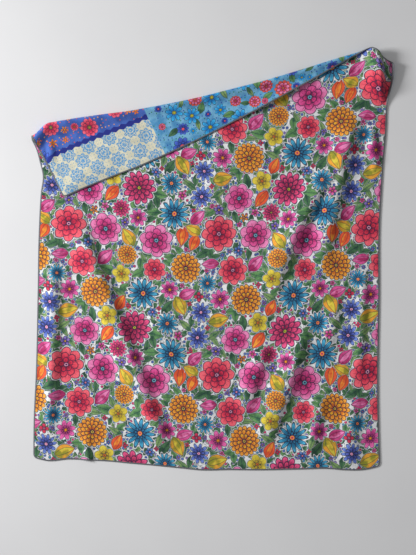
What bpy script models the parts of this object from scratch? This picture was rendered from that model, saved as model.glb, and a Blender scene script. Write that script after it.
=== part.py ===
"""A plush throw blanket, laid out face up with its top left corner turned down over the front.

Metres, +Z up. The cloth lies on the plane Z = 0, with X across it from left to right and Y up
its length. The origin is on the underside, at REST_POINT of the cloth as it was cut.

Every point of the cloth is known by its place (u, v) on the flat cut cloth, from its bottom left
corner. lie() gives the place where such a point comes to rest, and both pieces are built with it.
"""

import math
from typing import NamedTuple

import bmesh
import bpy
import numpy as np
from mathutils import Vector
from mathutils.geometry import delaunay_2d_cdt

# The cloth as it was cut
WIDTH = 1.270
LENGTH = 1.520
THICKNESS = 0.003
CORNER_RADIUS = 0.014
REST_POINT = (0.635, 0.700)

# The overlocked edge presses the rim of the cloth thin and wraps it
RIM_THICKNESS = 0.001
RIM_TAPER = 0.010
EDGE_REACH = 0.005
EDGE_PROUD = 0.001
EDGE_NOSE = 0.0007
CLEARANCE = 0.0003

# The turned corner: where the fold meets the left side and the top, counted from the corner
FOLD_DOWN_SIDE = 0.295
FOLD_ALONG_TOP = 1.186
LAYER_GAP = 0.002
# How far the flap swings back to the left, for each metre away from the fold
FLAP_SWING = 0.058
OVERTURN = math.radians(25)
EASE_RADIUS = 0.040
# Radius of the roll at distances along the fold, from the left side
ROLL = [
    (0.00, 0.0125), (0.12, 0.0118), (0.26, 0.0095), (0.42, 0.0082), (0.60, 0.0088), (0.78, 0.0080),
    (0.96, 0.0078), (1.10, 0.0068), (1.22, 0.0066),
]

FOLD_ANGLE = math.atan2(FOLD_DOWN_SIDE, FOLD_ALONG_TOP)
FOLD_COS = math.cos(FOLD_ANGLE)
FOLD_SIN = math.sin(FOLD_ANGLE)
FOLD_HEIGHT = LENGTH - FOLD_DOWN_SIDE

# How far each side lies from a straight rectangle: (distance along the side, shift to +X or +Y)
LEFT_SIDE = [
    (0.00, 0.000), (0.15, 0.002), (0.30, 0.009), (0.60, 0.016), (0.82, 0.020), (0.97, 0.028),
    (1.035, 0.035), (1.105, 0.024), (1.17, 0.009), (1.22, -0.012), (1.28, -0.026),
]
RIGHT_SIDE = [
    (0.00, -0.002), (0.08, -0.005), (0.30, -0.009), (0.60, -0.005), (0.91, -0.002), (0.98, 0.002),
    (1.09, 0.009), (1.22, 0.020), (1.37, 0.027), (1.46, 0.044), (1.52, 0.046),
]
BOTTOM_SIDE = [
    (0.00, 0.018), (0.05, 0.007), (0.13, 0.013), (0.21, 0.009), (0.28, 0.005), (0.35, -0.002),
    (0.43, -0.009), (0.54, -0.020), (0.61, -0.027), (0.72, -0.026), (0.83, -0.027), (0.98, -0.024),
    (1.08, -0.022), (1.14, -0.027), (1.21, -0.026), (1.27, -0.013),
]
# The top sags between the two gathers
TOP_SIDE = [
    (0.00, 0.019), (0.09, 0.003), (0.18, -0.007), (0.27, -0.018), (0.36, -0.029), (0.45, -0.034),
    (0.55, -0.037), (0.64, -0.037), (0.72, -0.035), (0.80, -0.033), (0.88, -0.028), (0.97, -0.021),
    (1.06, -0.013), (1.15, -0.007), (1.22, -0.001), (1.27, 0.000),
]


class Droop(NamedTuple):
    """A corner of the cloth that sags past a gathered point: it sinks towards -Y."""

    gathered_x: float
    side_x: float
    sink: float
    from_y: float
    to_y: float


DROOPS = [
    Droop(gathered_x=0.075, side_x=0.0, sink=0.045, from_y=0.95, to_y=1.24),
    Droop(gathered_x=1.186, side_x=1.270, sink=0.054, from_y=1.15, to_y=1.50),
]


class Fold(NamedTuple):
    """A ridge in the cloth, from its start, the upper end on the page, to its end.

    left and right are the reaches of its flanks, and fade_in and fade_out the shares of its
    length over which it rises and falls. bow is how far its middle bends to the right.
    """

    start: tuple
    end: tuple
    height: float
    left: float
    right: float
    fade_in: float
    fade_out: float
    bow: float


# The deep pleat under the right gather, and the side that stands up beyond its cleft
PLEAT = Fold((1.212, 1.540), (1.262, 1.300), 0.028, 0.075, 0.026, 0.05, 0.70, 0.000)
PLEAT_SIDE = Fold((1.292, 1.545), (1.300, 1.330), 0.030, 0.040, 0.040, 0.05, 0.60, 0.000)

CLOTH_FOLDS = [
    # From the left gather down to the bottom
    Fold((0.100, 0.975), (0.505, 0.020), 0.018, 0.085, 0.050, 0.25, 0.15, 0.000),
    Fold((0.060, 0.800), (0.055, 0.030), 0.010, 0.045, 0.050, 0.25, 0.25, 0.004),
    Fold((0.195, 0.150), (0.200, -0.060), 0.008, 0.030, 0.025, 0.60, 0.00, 0.000),
    # Low swells in the middle
    Fold((0.430, 0.640), (0.520, 0.280), 0.006, 0.080, 0.080, 0.40, 0.40, 0.000),
    Fold((0.680, 1.150), (0.610, 0.840), 0.006, 0.090, 0.080, 0.40, 0.40, 0.000),
    # From the right gather down across the cloth
    Fold((1.165, 1.270), (1.045, 0.660), 0.014, 0.060, 0.040, 0.20, 0.40, 0.000),
    Fold((1.120, 1.130), (0.855, 0.580), 0.020, 0.090, 0.048, 0.20, 0.35, -0.035),
    Fold((1.010, 0.570), (0.830, 0.070), 0.020, 0.075, 0.045, 0.30, 0.25, 0.015),
    Fold((0.865, 0.510), (0.760, 0.180), 0.012, 0.060, 0.040, 0.35, 0.35, 0.000),
    Fold((1.125, 0.670), (1.070, 0.380), 0.008, 0.045, 0.035, 0.40, 0.40, 0.000),
    Fold((1.070, 0.310), (1.010, 0.020), 0.010, 0.050, 0.040, 0.35, 0.25, 0.000),
    # Along the right side
    Fold((1.215, 1.250), (1.250, 1.040), 0.012, 0.030, 0.025, 0.30, 0.40, 0.000),
    Fold((1.205, 0.780), (1.195, 0.300), 0.009, 0.035, 0.030, 0.30, 0.30, 0.006),
    Fold((1.195, 0.280), (1.180, 0.020), 0.008, 0.035, 0.035, 0.40, 0.30, 0.000),
    PLEAT,
    PLEAT_SIDE,
]

FLAP_FOLDS = [
    # The free edge of the flap stands a little open
    Fold((1.130, 1.491), (0.700, 1.267), 0.014, 0.070, 0.050, 0.35, 0.40, 0.000),
    # Puckers by the left gather and at the tip
    Fold((0.062, 1.215), (0.085, 1.080), 0.006, 0.022, 0.022, 0.30, 0.40, 0.000),
    Fold((0.330, 1.130), (0.080, 0.975), 0.005, 0.060, 0.050, 0.40, 0.20, 0.000),
]
FLAP_FOLDS_START = 0.060

# Spacing of the points that the solids are built on
RIM_STEP = 0.032
CORNER_STEPS = 4
ROLL_STEPS = 9
ROLL_LEAD_IN = 0.012
ROLL_APART = 0.003
ROW_STEP = 0.034
FINE_ROW_STEP = 0.017
FINE_ROWS_FROM = 1.02
PLEAT_STEPS = 8
CREST_STEP = 0.040
CREST_APART = 0.008
GRID_STEP = 0.044
GRID_APART = 0.027
CLEAR_OF_ROLL = 0.060
NORMAL_STEP = 0.0005
SHARP_ANGLE = math.radians(40)
LEAST = 1e-6


def smooth(share):
    """0 to 1 as the share goes from 0 to 1, level at both ends."""
    share = np.clip(share, 0.0, 1.0)
    return share * share * (3.0 - 2.0 * share)


def curve_through(table, at):
    """The value at a place on a smooth curve through a table's (place, value) rows."""
    places, values = np.array(table).T
    slopes = np.gradient(values, places)
    at = np.clip(at, places[0], places[-1])
    row = np.clip(np.searchsorted(places, at) - 1, 0, len(places) - 2)
    span = places[row + 1] - places[row]
    share = (at - places[row]) / span
    ease = smooth(share)
    start_bend = share * (1.0 - share) ** 2 * span * slopes[row]
    end_bend = share**2 * (share - 1.0) * span * slopes[row + 1]
    return values[row] * (1.0 - ease) + values[row + 1] * ease + start_bend + end_bend


def fold_coordinates(u, v):
    """Distance along the fold from the left side, and across it towards the turned corner."""
    along = u * FOLD_COS + (v - FOLD_HEIGHT) * FOLD_SIN
    across = (v - FOLD_HEIGHT) * FOLD_COS - u * FOLD_SIN
    return along, across


def from_fold(along, across):
    """The place on the flat cloth of a point that is given along and across the fold."""
    u = along * FOLD_COS - across * FOLD_SIN
    v = FOLD_HEIGHT + along * FOLD_SIN + across * FOLD_COS
    return u, v


def roll_lengths(radius):
    """Where the roll starts, and the lengths of its bend, its slope down and its ease to level."""
    start = -radius * math.pi / 2
    bend = radius * (math.pi + OVERTURN)
    drop = radius * (1 + math.cos(OVERTURN)) - THICKNESS - LAYER_GAP
    drop = drop - EASE_RADIUS * (1 - math.cos(OVERTURN))
    return start, bend, drop / math.sin(OVERTURN), EASE_RADIUS * OVERTURN


def roll_section(across, radius):
    """How far a point reaches across the fold and how high it lies, along the roll's section."""
    start, bend, slope, ease = roll_lengths(radius)
    length = across - start
    turn = np.clip(length / radius, 0.0, math.pi + OVERTURN)
    down = np.clip(length - bend, 0.0, slope)
    level = np.clip((length - bend - slope) / EASE_RADIUS, 0.0, OVERTURN)
    flat = np.maximum(length - bend - slope - ease, 0.0)
    reach = start + np.minimum(length, 0.0) + radius * np.sin(turn) - down * math.cos(OVERTURN)
    reach = reach - EASE_RADIUS * (math.sin(OVERTURN) - np.sin(OVERTURN - level)) - flat
    height = radius * (1 - np.cos(turn)) - down * math.sin(OVERTURN)
    height = height - EASE_RADIUS * (np.cos(OVERTURN - level) - math.cos(OVERTURN))
    return reach, height


def ridge(fold, x, y):
    """The height that one fold adds at a place on the page."""
    start = np.array(fold.start)
    run = np.array(fold.end) - start
    length = math.hypot(*run)
    way = run / length
    share = ((x - start[0]) * way[0] + (y - start[1]) * way[1]) / length
    aside = (y - start[1]) * way[0] - (x - start[0]) * way[1]
    aside = aside - fold.bow * 4.0 * share * (1.0 - share)
    flank = np.where(aside < 0.0, fold.left, fold.right)
    rise = smooth(share / max(fold.fade_in, LEAST))
    fall = smooth((1.0 - share) / max(fold.fade_out, LEAST))
    return fold.height * rise * fall * smooth(1.0 - np.abs(aside) / flank)


def relief(folds, x, y):
    """The height that folds add together: where two meet, the higher one carries the other."""
    return np.sqrt(sum(ridge(fold, x, y) ** 2 for fold in folds))


def side_shift(x, y):
    """How far the cloth's own unevenness moves a place on the page."""
    share = np.clip(x / WIDTH, 0.0, 1.0)
    shift_x = curve_through(LEFT_SIDE, y) * (1.0 - share) + curve_through(RIGHT_SIDE, y) * share
    rise = np.clip(y / LENGTH, 0.0, 1.0)
    shift_y = curve_through(BOTTOM_SIDE, x) * (1.0 - rise) + curve_through(TOP_SIDE, x) * rise
    for droop in DROOPS:
        near_side = smooth((x - droop.gathered_x) / (droop.side_x - droop.gathered_x))
        near_top = smooth((y - droop.from_y) / (droop.to_y - droop.from_y))
        shift_y = shift_y - droop.sink * near_side * near_top
    return shift_x, shift_y


def lie(u, v):
    """Where the middle of the cloth's thickness lies at points of the flat cloth."""
    along, across = fold_coordinates(u, v)
    radius = curve_through(ROLL, along)
    reach, height = roll_section(across, radius)
    x, y = from_fold(along - FLAP_SWING * np.maximum(across, 0.0), reach)
    on_flap = smooth((across - radius * math.pi) / FLAP_FOLDS_START)
    height = height + relief(CLOTH_FOLDS, x, y) + on_flap * relief(FLAP_FOLDS, x, y)
    # The flap moves with the stretch of the fold that it hangs from
    foot_x, foot_y = from_fold(along, np.minimum(across, -radius * math.pi / 2))
    shift_x, shift_y = side_shift(foot_x, foot_y)
    place = [x + shift_x - REST_POINT[0], y + shift_y - REST_POINT[1], height + THICKNESS / 2]
    return np.stack(place, axis=-1)


def faces_up(u, v):
    """The direction out of the cloth's front at points of the flat cloth."""
    along_u = lie(u + NORMAL_STEP, v) - lie(u - NORMAL_STEP, v)
    along_v = lie(u, v + NORMAL_STEP) - lie(u, v - NORMAL_STEP)
    out = np.cross(along_u, along_v)
    return out / np.linalg.norm(out, axis=-1, keepdims=True)


def off_the_cloth(u, v, height):
    """Points at a height off the middle of the cloth, out of its front where it is positive."""
    return lie(u, v) + faces_up(u, v) * np.asarray(height)[..., None]


def roll_rows(along):
    """Distances across the fold of the rows of points that carry the roll's section."""
    radius = curve_through(ROLL, along)
    start, bend, slope, ease = roll_lengths(radius)
    bend_rows = [start + bend * step / ROLL_STEPS for step in range(ROLL_STEPS + 1)]
    level = start + bend + slope
    return [start - ROLL_LEAD_IN] + bend_rows + [level, level + ease]


def pleat_places():
    """Where the pleat's crest and flanks meet the top of the cloth."""
    fall = (PLEAT.start[1] - LENGTH) / (PLEAT.start[1] - PLEAT.end[1])
    crest = PLEAT.start[0] + (PLEAT.end[0] - PLEAT.start[0]) * fall
    steps = [PLEAT.left / 2 * step / PLEAT_STEPS for step in range(-PLEAT_STEPS, 1)]
    steps += [PLEAT.right * step / PLEAT_STEPS for step in range(1, PLEAT_STEPS + 1)]
    return [crest + step for step in steps]


def divided(places):
    """The places, with the gaps between them divided evenly into steps of RIM_STEP at most."""
    filled = []
    for first, last in zip(places[:-1], places[1:]):
        steps = max(1, math.ceil((last - first) / RIM_STEP - LEAST))
        filled += [first + (last - first) * step / steps for step in range(steps)]
    return filled + [places[-1]]


def rim_stations():
    """Places round the rim, anticlockwise from the bottom left, with their outward directions."""
    low, right, top = CORNER_RADIUS, WIDTH - CORNER_RADIUS, LENGTH - CORNER_RADIUS
    top_rows = [(FOLD_DOWN_SIDE * FOLD_COS - row) / FOLD_SIN for row in roll_rows(FOLD_ALONG_TOP)]
    left_rows = [FOLD_HEIGHT + row / FOLD_COS for row in roll_rows(0.0)]
    top_rows = sorted(place for place in top_rows if low < place < pleat_places()[0] - ROLL_APART)
    top_rows += pleat_places()
    sides = [
        ((0, -1), [(u, 0.0) for u in divided([low, right])]),
        ((1, 0), [(WIDTH, v) for v in divided([low, top])]),
        ((0, 1), [(u, LENGTH) for u in reversed(divided([low] + top_rows + [right]))]),
        ((-1, 0), [(0.0, v) for v in reversed(divided([low] + left_rows + [top]))]),
    ]
    places, outward = [], []
    for number, (way, side) in enumerate(sides):
        places += side
        outward += [way] * len(side)
        centre = np.array(side[-1]) - np.array(way) * CORNER_RADIUS
        for step in range(1, CORNER_STEPS):
            angle = math.radians(90 * (number - 1) + 90 * step / CORNER_STEPS)
            direction = (math.cos(angle), math.sin(angle))
            places.append(tuple(centre + CORNER_RADIUS * np.array(direction)))
            outward.append(direction)
    return np.array(places), np.array(outward)


def inside(points, margin):
    """Which places of the flat cloth lie at least a margin inside its sides."""
    u, v = points.T
    return (u > margin) & (u < WIDTH - margin) & (v > margin) & (v < LENGTH - margin)


def thinned(points, others, apart):
    """The points that lie apart from the others and from each other."""
    kept = np.concatenate([others, points])
    count = len(others)
    for point in points:
        if np.hypot(*(kept[:count] - point).T).min() >= apart:
            kept[count] = point
            count += 1
    return kept[:count]


def roll_points():
    """Points on the rows along the roll."""
    points = []
    along = -CLEAR_OF_ROLL
    while along < math.hypot(FOLD_DOWN_SIDE, FOLD_ALONG_TOP) + CLEAR_OF_ROLL:
        points += [from_fold(along, across) for across in roll_rows(along)]
        along += ROW_STEP if along < FINE_ROWS_FROM else FINE_ROW_STEP
    return np.array(points)


def crest_points():
    """Points along the crest and the flanks of each fold, on the cloth and on the flap."""
    points = []
    for fold in CLOTH_FOLDS + FLAP_FOLDS:
        start = np.array(fold.start)
        run = np.array(fold.end) - start
        length = math.hypot(*run)
        right_hand = np.array([-run[1], run[0]]) / length
        steps = math.ceil(length / CREST_STEP)
        for share in np.linspace(0.0, 1.0, steps + 1):
            crest = start + run * share + right_hand * fold.bow * 4.0 * share * (1.0 - share)
            for aside in (0.0, -fold.left / 2, fold.right / 2, -fold.left, fold.right):
                points.append(crest + right_hand * aside)
    points = np.array(points)
    along, across = fold_coordinates(*points.T)
    turned = np.stack(from_fold(along - FLAP_SWING * across, -across), axis=-1)
    on_cloth = points[across < -CLEAR_OF_ROLL]
    on_flap = turned[across < -CLEAR_OF_ROLL]
    return np.concatenate([on_cloth, on_flap])


def grid_points():
    """An even field of staggered points over the whole cloth."""
    points = []
    rise = GRID_STEP * math.sqrt(3) / 2
    for row in range(int(LENGTH / rise) + 1):
        for column in range(int(WIDTH / GRID_STEP) + 1):
            points.append(((column + 0.5 * (row % 2)) * GRID_STEP, row * rise))
    return np.array(points)


def cloth_points(inner_rim):
    """The points within the inner rim that the cloth is built on, the rim's own first."""
    margin = RIM_TAPER + CREST_APART / 2
    points = inner_rim
    for candidates, apart in (
        (roll_points(), ROLL_APART),
        (crest_points(), CREST_APART),
        (grid_points(), GRID_APART),
    ):
        points = thinned(candidates[inside(candidates, margin)], points, apart)
    return points


def filled_triangles(points, rim_count):
    """Triangles that fill the outline of the first rim_count points, through all the points."""
    outline = [(index, (index + 1) % rim_count) for index in range(rim_count)]
    flat = [Vector(point) for point in points]
    _, _, triangles, origins, _, _ = delaunay_2d_cdt(flat, outline, [], 1, LEAST)
    number = [origin[0] for origin in origins]
    return [tuple(number[corner] for corner in triangle) for triangle in triangles]


def strip_triangles(outer, inner, shorter):
    """Triangles between two rings of vertex numbers, split where shorter says."""
    triangles = []
    count = len(outer)
    for index in range(count):
        after = (index + 1) % count
        a, b, c, d = outer[index], outer[after], inner[after], inner[index]
        triangles += [(a, b, c), (a, c, d)] if shorter[index] else [(a, b, d), (b, c, d)]
    return triangles


def first_diagonal_shorter(places, outward, reach):
    """For each stretch of the rim, whether its first diagonal, from the rim in, is the shorter."""
    outer = lie(*places.T)
    inner = lie(*(places - outward * reach).T)
    first = np.linalg.norm(outer - np.roll(inner, -1, axis=0), axis=1)
    second = np.linalg.norm(np.roll(outer, -1, axis=0) - inner, axis=1)
    return first <= second


def make_object(name, vertices, triangles, material):
    """One named object from points and triangles."""
    mesh = bpy.data.meshes.new(name)
    made = bmesh.new()
    corners = [made.verts.new(vertex) for vertex in vertices]
    for triangle in triangles:
        made.faces.new([corners[index] for index in triangle])
    made.to_mesh(mesh)
    made.free()
    mesh.materials.append(material)
    mesh.shade_smooth()
    mesh.set_sharp_from_angle(angle=SHARP_ANGLE)
    thing = bpy.data.objects.new(name, mesh)
    bpy.context.scene.collection.objects.link(thing)
    return thing


def make_material(name, colour, roughness):
    """A plain material of one colour."""
    material = bpy.data.materials.new(name)
    material.use_nodes = True
    shader = material.node_tree.nodes["Principled BSDF"]
    shader.inputs["Base Color"].default_value = (*colour, 1.0)
    shader.inputs["Roughness"].default_value = roughness
    return material


def rim_half(reach):
    """Half the thickness of the cloth at a distance in from its rim."""
    share = min(reach / RIM_TAPER, 1.0)
    return (RIM_THICKNESS + (THICKNESS - RIM_THICKNESS) * share) / 2


def make_cloth(material):
    """The cloth: a front and a back on the same triangles, joined round the thin rim."""
    places, outward = rim_stations()
    count = len(places)
    inner_rim = places - outward * RIM_TAPER
    within = cloth_points(inner_rim)
    pressed = places - outward * EDGE_REACH
    points = np.concatenate([places, pressed, within])
    halves = np.full(len(points), THICKNESS / 2)
    halves[:count] = rim_half(0.0)
    halves[count : 2 * count] = rim_half(EDGE_REACH)
    rim, press, inner = (list(range(ring * count, (ring + 1) * count)) for ring in range(3))
    fill = filled_triangles(within, count)
    triangles = [tuple(corner + 2 * count for corner in triangle) for triangle in fill]
    triangles += strip_triangles(rim, press, first_diagonal_shorter(places, outward, EDGE_REACH))
    pressed_diagonals = first_diagonal_shorter(pressed, outward, RIM_TAPER - EDGE_REACH)
    triangles += strip_triangles(press, inner, pressed_diagonals)
    total = len(points)
    back = [tuple(corner + total for corner in reversed(triangle)) for triangle in triangles]
    edge = strip_triangles([corner + total for corner in rim], rim, [True] * count)
    vertices = np.concatenate([off_the_cloth(*points.T, halves), off_the_cloth(*points.T, -halves)])
    return make_object("throw_cloth", vertices, triangles + back + edge, material)


def make_edge(material):
    """The overlocked edge: a C section round the rim, built on the cloth's own stations."""
    places, outward = rim_stations()
    outer, lip = THICKNESS / 2, rim_half(EDGE_REACH) + CLEARANCE
    nose, throat = THICKNESS / 2 - EDGE_NOSE, rim_half(0.0) + CLEARANCE
    section = [
        (EDGE_REACH, outer), (EDGE_REACH, lip), (-CLEARANCE, throat), (-CLEARANCE, -throat),
        (EDGE_REACH, -lip), (EDGE_REACH, -outer), (0.0, -outer), (-EDGE_PROUD, -nose),
        (-EDGE_PROUD, nose), (0.0, outer),
    ]
    count = len(places)
    rings = []
    for reach, height in section:
        ring = (places - outward * reach).T
        rings.append(off_the_cloth(*ring, np.full(count, height)))
    diagonals = first_diagonal_shorter(places, outward, EDGE_REACH)
    triangles = []
    for number, (reach, _) in enumerate(section):
        following = (number + 1) % len(section)
        first = [number * count + index for index in range(count)]
        second = [following * count + index for index in range(count)]
        if section[following][0] > reach:
            shorter = diagonals
        elif section[following][0] < reach:
            shorter = ~diagonals
        else:
            shorter = [False] * count
        triangles += strip_triangles(first, second, shorter)
    return make_object("overlocked_edge", np.concatenate(rings), triangles, material)


def clear_scene():
    """Removes whatever the scene holds."""
    for thing in list(bpy.data.objects):
        bpy.data.objects.remove(thing)


def main():
    """Builds the throw."""
    clear_scene()
    plush = make_material("printed_plush", (0.262, 0.184, 0.192), 0.9)
    thread = make_material("charcoal_thread", (0.045, 0.05, 0.06), 0.8)
    make_cloth(plush)
    make_edge(thread)


main()
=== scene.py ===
"""A plush throw blanket, laid out face up with its top left corner turned down over the front.

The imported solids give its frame: metres, +Z up, X across the cloth and Y up its length. Both faces
of the cloth are fine sheets on the same folds as the solids, with a slightly sharper pleat, and each
has its own flower print. The overlocked edge is sewn round them stitch by stitch.
"""

import logging
import math
from dataclasses import dataclass
from enum import Enum
from typing import Callable, Optional, Sequence, Union

import bpy
import numpy as np
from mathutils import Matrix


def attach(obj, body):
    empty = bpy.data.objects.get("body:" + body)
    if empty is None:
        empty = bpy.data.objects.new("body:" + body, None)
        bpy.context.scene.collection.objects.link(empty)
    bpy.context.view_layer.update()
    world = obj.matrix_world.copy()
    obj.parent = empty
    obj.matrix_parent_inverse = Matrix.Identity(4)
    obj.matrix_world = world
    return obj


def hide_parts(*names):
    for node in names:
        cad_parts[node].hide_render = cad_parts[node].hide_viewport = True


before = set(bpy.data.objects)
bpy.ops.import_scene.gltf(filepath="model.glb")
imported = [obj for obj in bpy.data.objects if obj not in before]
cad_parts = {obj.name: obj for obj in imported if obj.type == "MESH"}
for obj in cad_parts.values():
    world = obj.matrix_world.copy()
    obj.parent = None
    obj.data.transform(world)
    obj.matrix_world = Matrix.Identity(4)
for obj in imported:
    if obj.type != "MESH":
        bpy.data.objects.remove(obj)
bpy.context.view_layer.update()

log = logging.getLogger("throw")

Table = Sequence[tuple[float, float]]
Rgb = tuple[float, float, float]
MM = 0.001
TURN = 2 * math.pi
# Keeps a division from meeting zero
TINY = 1e-6
# The Mix node's colour sockets go by number, because their names occur more than once
MIX_FACTOR, MIX_FIRST, MIX_SECOND, MIX_RESULT = 0, 6, 7, 2


def smooth(share: np.ndarray) -> np.ndarray:
    """Eases a share between 0 and 1.

    Args:
        share: Values, of which those outside 0 to 1 are held at its ends.

    Returns:
        The eased values, level at 0 and 1.
    """
    share = np.clip(share, 0.0, 1.0)
    return share * share * (3.0 - 2.0 * share)


def curve_through(table: Table, at: np.ndarray) -> np.ndarray:
    """Reads a smooth curve through the rows of a table.

    Args:
        table: Rows of a place and the value there, in rising order of places.
        at: The places to read.

    Returns:
        The value at each place, held beyond the table's ends.
    """
    places, values = np.array(table).T
    slopes = np.gradient(values, places)
    at = np.clip(at, places[0], places[-1])
    row = np.clip(np.searchsorted(places, at) - 1, 0, len(places) - 2)
    span = places[row + 1] - places[row]
    share = (at - places[row]) / span
    ease = smooth(share)
    start_bend = share * (1.0 - share) ** 2 * span * slopes[row]
    end_bend = share**2 * (share - 1.0) * span * slopes[row + 1]
    return values[row] * (1.0 - ease) + values[row + 1] * ease + start_bend + end_bend


@dataclass(frozen=True)
class Fold:
    """A ridge in the cloth, from its start, the upper end on the page, to its end.

    left and right are the reaches of its flanks, fade_in and fade_out the shares of its length
    over which it rises and falls, and bow is how far its middle bends to the right.
    """

    start: tuple[float, float]
    end: tuple[float, float]
    height: float
    left: float
    right: float
    fade_in: float
    fade_out: float
    bow: float = 0.0

    def rise(self, x: np.ndarray, y: np.ndarray) -> np.ndarray:
        """Works out the height that the fold adds.

        Args:
            x: Places across the page.
            y: Places up the page.

        Returns:
            The height at each place.
        """
        run = np.array(self.end) - self.start
        length = math.hypot(*run)
        way = run / length
        share = ((x - self.start[0]) * way[0] + (y - self.start[1]) * way[1]) / length
        aside = (y - self.start[1]) * way[0] - (x - self.start[0]) * way[1]
        aside = aside - self.bow * 4.0 * share * (1.0 - share)
        flank = np.where(aside < 0.0, self.left, self.right)
        ends = smooth(share / max(self.fade_in, TINY))
        ends = ends * smooth((1.0 - share) / max(self.fade_out, TINY))
        return self.height * ends * smooth(1.0 - np.abs(aside) / flank)


@dataclass(frozen=True)
class Droop:
    """A corner of the cloth that sags past a gathered point: it sinks towards -Y.

    The sag grows from gathered_x to side_x, and up the page from from_y to to_y.
    """

    gathered_x: float
    side_x: float
    sink: float
    from_y: float
    to_y: float


CLOTH_FOLDS = (
    Fold((0.100, 0.975), (0.505, 0.020), 0.018, 0.085, 0.050, 0.25, 0.15),
    Fold((0.056, 0.820), (0.052, 0.030), 0.012, 0.045, 0.042, 0.25, 0.25, 0.004),
    Fold((0.195, 0.150), (0.200, -0.060), 0.008, 0.030, 0.025, 0.60, 0.00),
    Fold((0.430, 0.640), (0.520, 0.280), 0.006, 0.080, 0.080, 0.40, 0.40),
    Fold((0.680, 1.150), (0.610, 0.840), 0.006, 0.090, 0.080, 0.40, 0.40),
    Fold((1.150, 1.300), (1.040, 0.660), 0.020, 0.070, 0.055, 0.15, 0.40),
    Fold((1.120, 1.130), (0.855, 0.580), 0.023, 0.090, 0.050, 0.20, 0.35, -0.035),
    Fold((1.010, 0.570), (0.830, 0.070), 0.020, 0.075, 0.045, 0.30, 0.25, 0.015),
    Fold((0.865, 0.510), (0.760, 0.180), 0.012, 0.060, 0.040, 0.35, 0.35),
    Fold((1.125, 0.670), (1.070, 0.380), 0.008, 0.045, 0.035, 0.40, 0.40),
    Fold((1.070, 0.310), (1.010, 0.020), 0.010, 0.050, 0.040, 0.35, 0.25),
    Fold((1.215, 1.250), (1.250, 1.040), 0.012, 0.030, 0.025, 0.30, 0.40),
    Fold((1.205, 0.780), (1.195, 0.300), 0.009, 0.035, 0.030, 0.30, 0.30, 0.006),
    Fold((1.170, 0.300), (1.160, 0.000), 0.012, 0.040, 0.060, 0.40, 0.20),
    # The pleat and its cleft, a little sharper and deeper than a solid can have them
    Fold((1.209, 1.540), (1.252, 1.330), 0.036, 0.075, 0.022, 0.05, 0.40),
    Fold((1.280, 1.545), (1.290, 1.310), 0.035, 0.026, 0.040, 0.05, 0.40),
)
FLAP_FOLDS = (
    Fold((1.130, 1.491), (0.700, 1.267), 0.014, 0.070, 0.050, 0.35, 0.40),
    Fold((0.062, 1.215), (0.085, 1.080), 0.006, 0.022, 0.022, 0.30, 0.40),
    Fold((0.330, 1.130), (0.080, 0.975), 0.005, 0.060, 0.050, 0.40, 0.20),
)
DROOPS = (Droop(0.075, 0.0, 0.045, 0.95, 1.24), Droop(1.186, 1.270, 0.054, 1.15, 1.50))


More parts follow.
